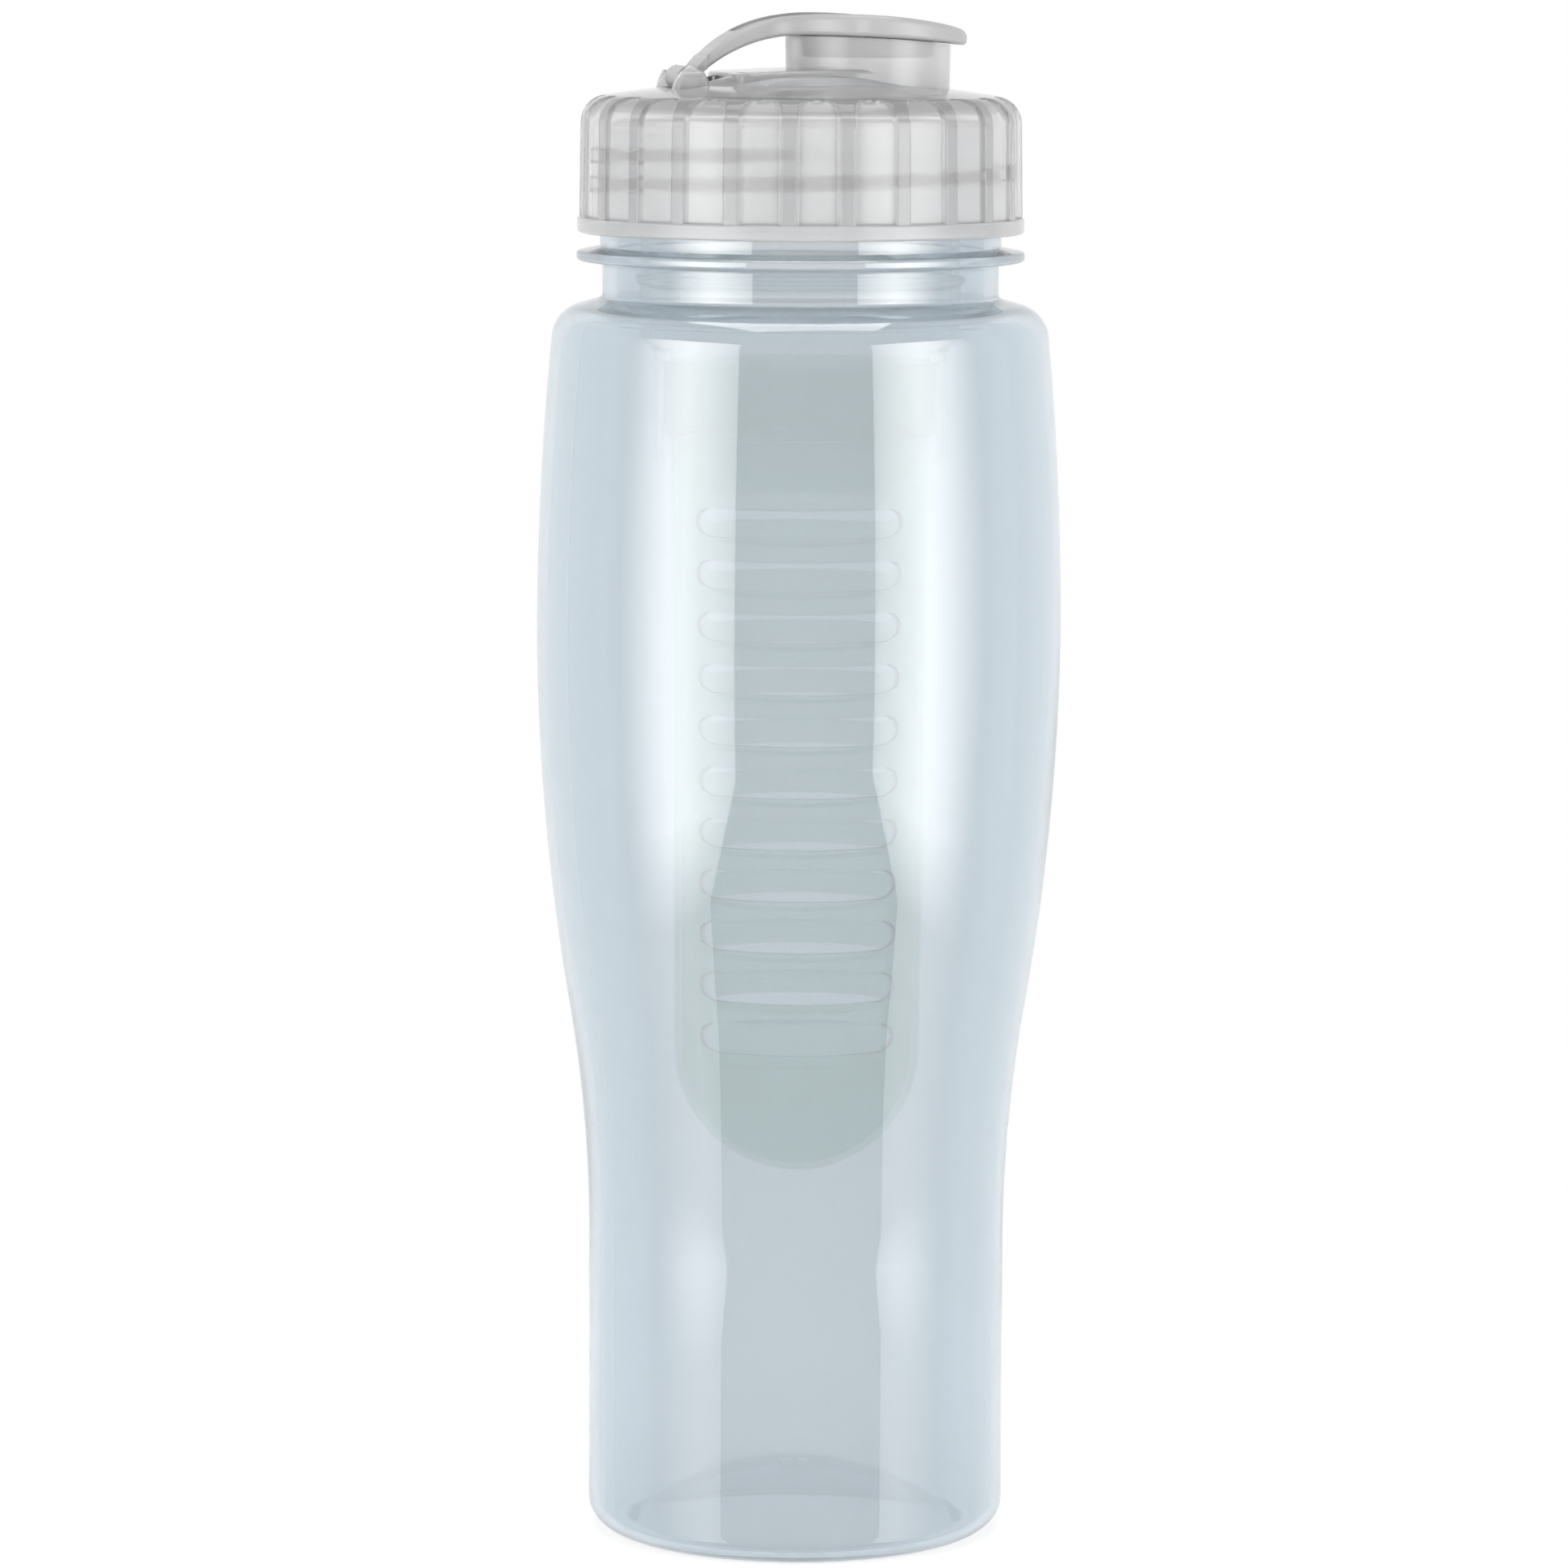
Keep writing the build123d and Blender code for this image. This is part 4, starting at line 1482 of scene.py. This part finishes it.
    def thickness(self, angle: float, radius: float, level: float) -> float:
        """Gives 1 on the thread, whose dark tint is painted shade, less on the thicker ribs and the crown and
        0 in the panels.

        Args:
            angle: Angle round the axis.
            radius: Distance from the axis, in millimetres.
            level: Height in millimetres.

        Returns:
            The mark, from 0 to 1.
        """
        # Painted shade: the thread is tinted near black, for the dark bands of its shadow seen through the
        # cap
        if radius < self.bore + self.bore_reach and level < self.ceiling + self.lid_wall + self.margin:
            return self.thread.rise(angle, level) / self.thread.height
        if level < self.ring_top + self.skin_margin:
            return self.ring_share
        if level > self.ear_foot + self.lid_wall:
            return 0.0
        shoulder = self.rib_radius - self.corner_round
        share = smooth((radius - self.crown_foot[0]) / (shoulder - self.crown_foot[0]))
        return self.rib_share * share * (1 + self.panel_depth(angle, radius, level) / self.rib_depth)


def three_point_arc(first: Place, middle: Place, last: Place, count: int) -> list[Place]:
    """Samples the arc through three places.

    Args:
        first: Where it starts.
        middle: A place on the way.
        last: Where it ends.
        count: Number of steps.

    Returns:
        The points, both ends among them.
    """
    a, b, c = Vector((*first, 0)), Vector((*middle, 0)), Vector((*last, 0))
    ab, ac = b - a, c - a
    cross = ab.cross(ac)
    to_centre = (cross.cross(ab) * ac.length_squared + ac.cross(cross) * ab.length_squared)
    centre = a + to_centre / (2 * cross.length_squared)
    start = math.atan2(a.y - centre.y, a.x - centre.x)
    sweep = math.atan2(c.y - centre.y, c.x - centre.x) - start
    sweep = sweep % FULL_TURN if cross.z > 0 else sweep % FULL_TURN - FULL_TURN
    radius = (a - centre).length
    return [(centre.x + radius * math.cos(start + sweep * k / count),
             centre.y + radius * math.sin(start + sweep * k / count)) for k in range(count + 1)]


# Finishes


Feed = bpy.types.NodeSocket | float | Sequence[float]
Colour = tuple[float, float, float]


class Graph:
    """A node tree that is filled one node at a time."""

    def __init__(self, tree: bpy.types.NodeTree, empty: bool = False) -> None:
        """Keeps the tree, and clears it where it has to start empty.

        Args:
            tree: The tree that gets the nodes.
            empty: True to clear it first.
        """
        self.tree = tree
        if empty:
            tree.nodes.clear()

    def feed(self, node: bpy.types.Node, feeds: dict[str | int, Feed]) -> None:
        """Links or sets some inputs of a node.

        Args:
            node: The node.
            feeds: The socket, number or colour that each input gets.
        """
        for name, source in feeds.items():
            if isinstance(source, bpy.types.NodeSocket):
                self.tree.links.new(source, node.inputs[name])
            else:
                node.inputs[name].default_value = source

    def add(self, kind: str, feeds: dict[str | int, Feed] | None = None,
            **settings: object) -> bpy.types.Node:
        """Adds a shader node.

        Args:
            kind: Its type, as Blender names it after ShaderNode.
            feeds: The socket, number or colour that each input gets.
            settings: The node's own settings, which decide what inputs it has.

        Returns:
            The node.
        """
        node = self.tree.nodes.new("ShaderNode" + kind)
        for name, value in settings.items():
            setattr(node, name, value)
        self.feed(node, feeds or {})
        return node

    def span(self, value: Feed, levels: Place = (0.0, 1.0), results: Place = (0.0, 1.0),
             soft: bool = False) -> bpy.types.NodeSocket:
        """Maps a value from one span to another.

        Args:
            value: The value.
            levels: The two ends of its span.
            results: What the two ends become.
            soft: True to ease in and out between them.

        Returns:
            The result.
        """
        feeds = {"Value": value, "From Min": levels[0], "From Max": levels[1],
                 "To Min": results[0], "To Max": results[1]}
        way = "SMOOTHSTEP" if soft else "LINEAR"
        return self.add("MapRange", feeds, interpolation_type=way).outputs["Result"]

    def calculate(self, operation: str, first: Feed, second: Feed) -> bpy.types.NodeSocket:
        """Combines two values by one of Blender's math operations."""
        return self.add("Math", {0: first, 1: second}, operation=operation).outputs[0]

    def blend(self, share: Feed, start: Feed, colour: Colour, way: str = "MIX") -> bpy.types.NodeSocket:
        """Blends a share of a fixed colour into a colour.

        Args:
            share: The share of the fixed colour.
            start: The colour so far.
            colour: The fixed colour.
            way: Blender's name for the kind of blend.

        Returns:
            The result.
        """
        feeds = {"Factor": share, "A": start, "B": (*colour, 1)}
        return self.add("Mix", feeds, data_type="RGBA", blend_type=way).outputs["Result"]

    def direct_sight(self) -> bpy.types.NodeSocket:
        """Gives 1 to what the camera sees, also through glass and in gloss, and 0 to soft light.

        Returns:
            The share.
        """
        path = self.add("LightPath").outputs
        glassy = self.calculate("MAXIMUM", path["Is Glossy Ray"], path["Is Transmission Ray"])
        return self.calculate("MAXIMUM", path["Is Camera Ray"], glassy)


class Effect(Graph):
    """A shader node group that several finishes share."""

    def __init__(self, name: str, inputs: dict[str, float], outputs: Sequence[str]) -> None:
        """Makes the group with its two ends.

        Args:
            name: Name of the group.
            inputs: Names of the float inputs with their defaults.
            outputs: Names of the float outputs.
        """
        super().__init__(bpy.data.node_groups.new(name, "ShaderNodeTree"))
        ends = self.tree.interface
        for label, value in inputs.items():
            socket = ends.new_socket(label, in_out="INPUT", socket_type="NodeSocketFloat")
            socket.default_value = value
        for label in outputs:
            ends.new_socket(label, in_out="OUTPUT", socket_type="NodeSocketFloat")
        self.given = self.tree.nodes.new("NodeGroupInput").outputs
        self.result = self.tree.nodes.new("NodeGroupOutput")

    def noise(self, place: Feed, scale: Feed, detail: float) -> bpy.types.NodeSocket:
        """Gives noise of a scale, with this many finer layers, at a place."""
        return self.add("TexNoise", {"Vector": place, "Scale": scale, "Detail": detail}).outputs["Fac"]


@dataclass(frozen=True)
class Effects:
    """The node groups that every finish is made with."""

    moulded_surface: bpy.types.NodeTree
    flow_lines: bpy.types.NodeTree
    edge_wear: bpy.types.NodeTree

    @classmethod
    def build(cls) -> "Effects":
        """Makes each group once."""
        return cls(cls.make_moulded_surface(), cls.make_flow_lines(), cls.make_edge_wear())

    @staticmethod
    def make_moulded_surface() -> bpy.types.NodeTree:
        """Makes the fine unevenness of a moulded face: a height and a mask of duller patches.

        Returns:
            The group.
        """
        effect = Effect("moulded_surface", {"Grain Scale": 900.0, "Patch Scale": 40.0}, ("Height", "Patches"))
        place = effect.add("TexCoord").outputs["Object"]
        effect.feed(effect.result, {
            "Height": effect.noise(place, effect.given["Grain Scale"], detail=3),
            "Patches": effect.noise(place, effect.given["Patch Scale"], detail=4),
        })
        return effect.tree

    @staticmethod
    def make_flow_lines() -> bpy.types.NodeTree:
        """Makes long faint streaks that run up the piece, as the melt leaves in a moulding.

        Returns:
            The group.
        """
        effect = Effect("flow_lines", {"Scale": 60.0, "Stretch": 0.06}, ("Streaks",))
        place = effect.add("TexCoord").outputs["Object"]
        squeeze = effect.add("CombineXYZ", {"X": 1, "Y": 1, "Z": effect.given["Stretch"]}).outputs["Vector"]
        scaled = effect.add("VectorMath", {0: place, 1: squeeze}, operation="MULTIPLY").outputs["Vector"]
        effect.feed(effect.result, {"Streaks": effect.noise(scaled, effect.given["Scale"], detail=2)})
        return effect.tree

    @staticmethod
    def make_edge_wear() -> bpy.types.NodeTree:
        """Makes a mask that is 1 along worn convex edges.

        Returns:
            The group.
        """
        effect = Effect("edge_wear", {"Low": 0.52, "High": 0.62}, ("Wear",))
        edges = effect.add("NewGeometry").outputs["Pointiness"]
        wear = effect.span(edges, (effect.given["Low"], effect.given["High"]))
        effect.feed(effect.result, {"Wear": wear})
        return effect.tree


@dataclass(frozen=True)
class Plastic:
    """A clear or cloudy plastic, tinted through its depth."""

    name: str
    tint: Colour
    streak_tint: Colour
    wear_tint: Colour
    transmission: float
    roughness: float
    dull: float
    ior: float = 1.5
    gloss: float = 0.5
    grain_scale: float = 900.0
    grain_depth: float = 0.02
    grain_strength: float = 0.3
    patch_scale: float = 40.0
    patch_levels: Place = (0.4, 0.65)
    coat: float = 0.0
    coat_roughness: float = 0.03
    # Tint where the mesh attribute is marked: thicker plastic, and painted light and painted shade
    plastic_and_painted_light_tint: Colour | None = None
    # Tint painted at grazing view angles, the silhouettes: painted sheen on the body, painted dark outline on
    # the basket
    painted_rim_tint: Colour | None = None
    painted_rim_span: Place = (0.1, 0.4)
    rim_gloss: Place = (0.6, 0.92)
    foot_tint: Colour | None = None
    foot_levels: Place = (0.06, 0.12)
    depth_tint: Colour | None = None
    depth_density: float = 0.0

    def build(self, effects: Effects) -> bpy.types.Material:
        """Makes the material.

        Args:
            effects: The shared node groups.

        Returns:
            The material.
        """
        material = bpy.data.materials.new(self.name)
        material.use_nodes = True
        graph = Graph(material.node_tree)
        nodes = graph.tree.nodes
        shader = nodes["Principled BSDF"]
        scales = {"Grain Scale": self.grain_scale, "Patch Scale": self.patch_scale}
        surface = graph.add("Group", scales, node_tree=effects.moulded_surface).outputs
        streaks = graph.add("Group", node_tree=effects.flow_lines).outputs["Streaks"]
        wear = graph.add("Group", node_tree=effects.edge_wear).outputs["Wear"]

        colour = graph.blend(streaks, (*self.tint, 1), self.streak_tint)
        colour = graph.blend(wear, colour, self.wear_tint)
        if self.foot_tint:
            colour = graph.blend(self.foot(graph), colour, self.foot_tint, "MULTIPLY")
        # Painted light and shade from the marked attribute: lighter on the bottle's bead, neck root and base,
        # near black on the cap's thread; the cap's thicker ribs and ring come out darker too
        if self.plastic_and_painted_light_tint:
            thickness = graph.add("Attribute", attribute_name=PLASTIC_AND_PAINTED_LIGHT).outputs["Fac"]
            colour = graph.blend(thickness, colour, self.plastic_and_painted_light_tint)
        # Painted by view angle: the silhouettes take the rim tint, a painted bluish sheen on the body and a
        # painted dark green outline on the basket, and the coat fades out there
        if self.painted_rim_tint:
            facing = graph.add("LayerWeight").outputs["Facing"]
            colour = graph.blend(graph.span(facing, self.painted_rim_span, soft=True), colour, self.painted_rim_tint)
            coat = graph.span(facing, self.rim_gloss, (self.coat, 0.0), soft=True)
        else:
            coat = self.coat
        bump = graph.add("Bump", {"Strength": self.grain_strength, "Distance": self.grain_depth * MM,
                                  "Height": surface["Height"]})
        graph.feed(shader, {
            "Base Color": colour,
            "Roughness": graph.span(surface["Patches"], self.patch_levels, (self.roughness, self.dull)),
            "Normal": bump.outputs["Normal"],
            "Metallic": 0,
            "Transmission Weight": self.transmission,
            "IOR": self.ior,
            "Specular IOR Level": self.gloss,
            "Coat Weight": coat,
            "Coat Roughness": self.coat_roughness,
        })
        if self.depth_tint:
            depth = graph.add("VolumeAbsorption", {"Color": (*self.depth_tint, 1),
                                                   "Density": self.depth_density})
            graph.feed(nodes["Material Output"], {"Volume": depth.outputs["Volume"]})
        return material

    def foot(self, graph: Graph) -> bpy.types.NodeSocket:
        """Gives 1 at the foot of the piece and 0 above it.

        Args:
            graph: The material's graph.

        Returns:
            The share.
        """
        place = graph.add("TexCoord").outputs["Object"]
        height = graph.add("SeparateXYZ", {"Vector": place}).outputs["Z"]
        return graph.span(height, self.foot_levels, (1.0, 0.0))


def grey(level: float) -> Colour:
    """Makes a neutral colour."""
    return level, level, level


# The body's marked tint is lighter: painted light on the bead, the neck root and the base, and a lighter
# neck; its rim tint is a painted bluish sheen at the silhouettes
CLEAR_BODY = Plastic("clear_body", tint=(0.655, 0.705, 0.74), streak_tint=(0.64, 0.69, 0.725),
                     wear_tint=(0.71, 0.765, 0.795), transmission=0.77, roughness=0.02, dull=0.04,
                     ior=1.25, gloss=0.2, grain_depth=0.002, coat=1.0, coat_roughness=0.045,
                     plastic_and_painted_light_tint=(0.92, 0.94, 0.95), painted_rim_tint=(0.715, 0.79, 0.84),
                     depth_tint=(0.24, 0.5, 0.68), depth_density=20.0)
SMOKED_COLLAR = Plastic("smoked_collar", tint=(0.97, 0.985, 0.985), streak_tint=(0.95, 0.975, 0.975),
                        wear_tint=(0.98, 0.99, 0.99), transmission=0.98, roughness=0.02, dull=0.04,
                        ior=1.22, grain_depth=0.002)
# The basket's rim tint is a painted darker green outline at the silhouettes
SMOKED_BASKET = Plastic("smoked_basket", tint=(0.735, 0.835, 0.765), streak_tint=(0.715, 0.825, 0.755),
                        wear_tint=(0.79, 0.87, 0.84), transmission=0.97, roughness=0.015, dull=0.03,
                        ior=1.42, grain_depth=0.002, foot_tint=(0.82, 0.96, 0.91),
                        painted_rim_tint=(0.5, 0.68, 0.61), painted_rim_span=(0.5, 0.95),
                        depth_tint=(0.35, 0.72, 0.62), depth_density=130.0)
# The cap's marked tint is nearly black: painted shade on the thread, darker on the thicker ribs and ring
FROSTED_CAP = Plastic("frosted_cap", tint=grey(0.9), streak_tint=grey(0.88), wear_tint=grey(0.92),
                      transmission=0.7, roughness=0.08, dull=0.12, ior=1.25, coat=0.18,
                      coat_roughness=0.2, grain_scale=1400, grain_depth=0.02,
                      plastic_and_painted_light_tint=grey(0.06), depth_tint=grey(0.1), depth_density=60.0)
FROSTED_LID = Plastic("frosted_lid", tint=grey(0.44), streak_tint=grey(0.42), wear_tint=grey(0.5),
                      transmission=0.3, roughness=0.34, dull=0.42, ior=1.4, grain_scale=1400,
                      grain_depth=0.04)
SILICONE = Plastic("silicone", tint=grey(0.8), streak_tint=grey(0.78), wear_tint=grey(0.84),
                   transmission=0.3, roughness=0.35, dull=0.45, ior=1.41)


# Studio


@dataclass(frozen=True)
class Softbox:
    """One tall soft lamp beside the bottle, which is narrow and faint below the floor."""

    name: str
    azimuth: float
    width: float
    fade: Place
    right: bool = False
    distance: float = 0.45
    low: float = -0.35
    high: float = 0.38
    strength: float = 8.1
    near_share: float = 0.38
    fade_end: float = 0.02
    floor_share: float = 0.25
    floor_blur: float = 0.08
    low_cut: float = 0.22

    def build(self, camera_azimuth: float) -> None:
        """Stands the lamp at its azimuth from the camera's side, facing the bottle.

        Args:
            camera_azimuth: Where the camera stands, in radians.
        """
        angle = camera_azimuth + self.azimuth
        away = Vector((math.sin(angle), -math.cos(angle), 0))
        lamp = area_lamp(self.name, (self.width, self.high - self.low), self.strength,
                         away * self.distance + Vector((0, 0, (self.low + self.high) / 2)))
        lamp.rotation_euler = (-away).to_track_quat("-Z", "Y").to_euler()
        self.shade(lamp.data)

    def shade(self, data: bpy.types.AreaLight) -> None:
        """Lets the lamp fall off away from the camera and towards its lower end.

        Args:
            data: The lamp.
        """
        data.use_nodes = True
        graph = Graph(data.node_tree, empty=True)
        place = graph.add("NewGeometry").outputs["Parametric"]
        split = graph.add("SeparateXYZ", {"Vector": place}).outputs
        out_share = graph.span(split["X"], results=(0.0, 1.0) if self.right else (1.0, 0.0))
        fall = graph.span(out_share, self.fade, (1.0, self.fade_end), soft=True)
        swell = graph.span(out_share, (0.0, self.fade[0]), (self.near_share, 1.0))
        floor_level = -self.low / (self.high - self.low)
        above = graph.span(split["Y"], (floor_level - self.floor_blur, floor_level))
        dim = graph.span(above, results=(self.floor_share, 1.0))
        edge = graph.span(above, results=(self.low_cut, 0.0))
        inside = graph.calculate("GREATER_THAN", out_share, edge)
        across = graph.calculate("MULTIPLY", fall, swell)
        shaped = graph.calculate("MULTIPLY", across, dim)
        glow = graph.add("Emission", {"Strength": graph.calculate("MULTIPLY", shaped, inside)})
        graph.add("OutputLight", {"Surface": glow.outputs["Emission"]})


def area_lamp(name: str, size: Place, strength: float, place: Sequence[float]) -> bpy.types.Object:
    """Makes a rectangular lamp that shines down and isn't seen itself.

    Args:
        name: Name of the lamp.
        size: Its width and height, in metres.
        strength: Its radiance, where 1 is white.
        place: Where its middle is.

    Returns:
        The lamp.
    """
    data = bpy.data.lights.new(name, "AREA")
    data.shape = "RECTANGLE"
    data.size, data.size_y = size
    data.energy = strength * math.pi * data.size * data.size_y
    lamp = bpy.data.objects.new(name, data)
    lamp.location = place
    lamp.visible_camera = False
    lamp.visible_transmission = False
    bpy.context.scene.collection.objects.link(lamp)
    return lamp


@dataclass
class Studio:
    """The floor, the white surround, the soft lamps and the camera."""

    camera_distance: float = 1.0657
    camera_height: float = 0.2466
    camera_azimuth: float = math.radians(-12)
    pitch: float = math.radians(6.973)
    roll: float = math.radians(0.26)
    yaw: float = math.radians(0.117)
    lens: float = 159.36
    sensor: float = 36.0
    near_clip: float = 0.05
    floor_reach: float = 6.0
    floor_sides: int = 96
    floor_matte: float = 0.32
    floor_glow: float = 0.74
    floor_plain: float = 0.8
    shadow_reach: Place = (0.12, 0.42)
    fill: float = 0.2
    top_size: float = 0.8
    top_height: float = 1.2
    top_strength: float = 4.5
    softboxes: tuple[Softbox, ...] = (
        Softbox("left_softbox", math.radians(-61), width=0.61, fade=(0.34, 0.8)),
        Softbox("right_softbox", math.radians(70), width=0.7, fade=(0.3, 0.7), right=True),
    )

    def stand_camera(self) -> None:
        """Puts the camera where the photograph was taken from."""
        data = bpy.data.cameras.new("camera")
        data.lens = self.lens
        data.sensor_width = self.sensor
        data.clip_start = self.near_clip
        camera = bpy.data.objects.new("camera", data)
        spot = Vector((math.sin(self.camera_azimuth), -math.cos(self.camera_azimuth), 0))
        camera.location = spot * self.camera_distance + Vector((0, 0, self.camera_height))
        turn = Euler((math.pi / 2 - self.pitch, 0, self.camera_azimuth + self.yaw), "XYZ").to_matrix()
        camera.rotation_euler = (turn @ Matrix.Rotation(self.roll, 3, "Z")).to_euler()
        bpy.context.scene.collection.objects.link(camera)
        bpy.context.scene.camera = camera

    def hang_lamps(self) -> None:
        """Stands the two tall softboxes beside the bottle and hangs the soft top lamp."""
        for softbox in self.softboxes:
            softbox.build(self.camera_azimuth)
        area_lamp("top_softbox", (self.top_size, self.top_size), self.top_strength, (0, 0, self.top_height))

    def light_world(self) -> None:
        """Gives a white surround to the camera and to gloss and glass, and a soft fill to the rest."""
        world = bpy.data.worlds.new("surround")
        world.use_nodes = True
        bpy.context.scene.world = world
        graph = Graph(world.node_tree, empty=True)
        level = graph.span(graph.direct_sight(), results=(self.fill, 1.0))
        glow = graph.add("Background", {"Color": (1, 1, 1, 1), "Strength": level})
        graph.add("OutputWorld", {"Surface": glow.outputs["Background"]})

    def floor_material(self) -> bpy.types.Material:
        """Makes the pale floor, which keeps the bottle's shadow and fades to white further out.

        Returns:
            The material.
        """
        material = bpy.data.materials.new("pale_floor")
        material.use_nodes = True
        graph = Graph(material.node_tree, empty=True)
        place = graph.add("TexCoord").outputs["Object"]
        reach = graph.add("VectorMath", {0: place}, operation="LENGTH").outputs["Value"]
        matte = graph.add("BsdfDiffuse", {"Color": (*grey(self.floor_matte), 1)})
        glow = graph.add("Emission", {"Strength": self.floor_glow})
        near = graph.add("AddShader", {0: matte.outputs[0], 1: glow.outputs[0]})
        white = graph.add("Emission")
        seen = graph.add("MixShader", {"Fac": graph.span(reach, self.shadow_reach, soft=True),
                                       1: near.outputs[0], 2: white.outputs[0]})
        plain = graph.add("BsdfDiffuse", {"Color": (*grey(self.floor_plain), 1)})
        choice = graph.add("MixShader", {"Fac": graph.direct_sight(), 1: plain.outputs[0],
                                         2: seen.outputs[0]})
        graph.add("OutputMaterial", {"Surface": choice.outputs[0]})
        return material

    def lay_floor(self) -> None:
        """Lays the floor."""
        mesh = bmesh.new()
        bmesh.ops.create_circle(mesh, cap_ends=True, segments=self.floor_sides, radius=self.floor_reach)
        data = bpy.data.meshes.new("floor")
        mesh.to_mesh(data)
        mesh.free()
        floor = bpy.data.objects.new("floor", data)
        bpy.context.scene.collection.objects.link(floor)
        floor.data.materials.append(self.floor_material())
        floor.visible_glossy = False

    def build(self) -> None:
        """Sets up the whole studio."""
        bpy.context.scene.view_settings.view_transform = "Standard"
        self.light_world()
        self.lay_floor()
        self.hang_lamps()
        self.stand_camera()


def main() -> None:
    """Builds the bottle and its studio."""
    logging.basicConfig(level=logging.INFO, format="%(message)s")
    effects = Effects.build()
    Studio().build()
    dress(BottleBody().build(), CLEAR_BODY.build(effects), Zone.BODY, "bottle")
    dress(CapGasket().build(), SILICONE.build(effects), Zone.GASKET, "gasket")
    dress(InfuserCollar().build(), SMOKED_COLLAR.build(effects), Zone.COLLAR, "collar")
    dress(InfuserBasket().build(), SMOKED_BASKET.build(effects), Zone.BASKET, "basket")
    lid = FlipLid()
    dress(ScrewCap(lid).build(), FROSTED_CAP.build(effects), Zone.CAP, "cap")
    dress(lid.build(), FROSTED_LID.build(effects), Zone.LID, "lid")


if __name__ == "__main__":
    main()
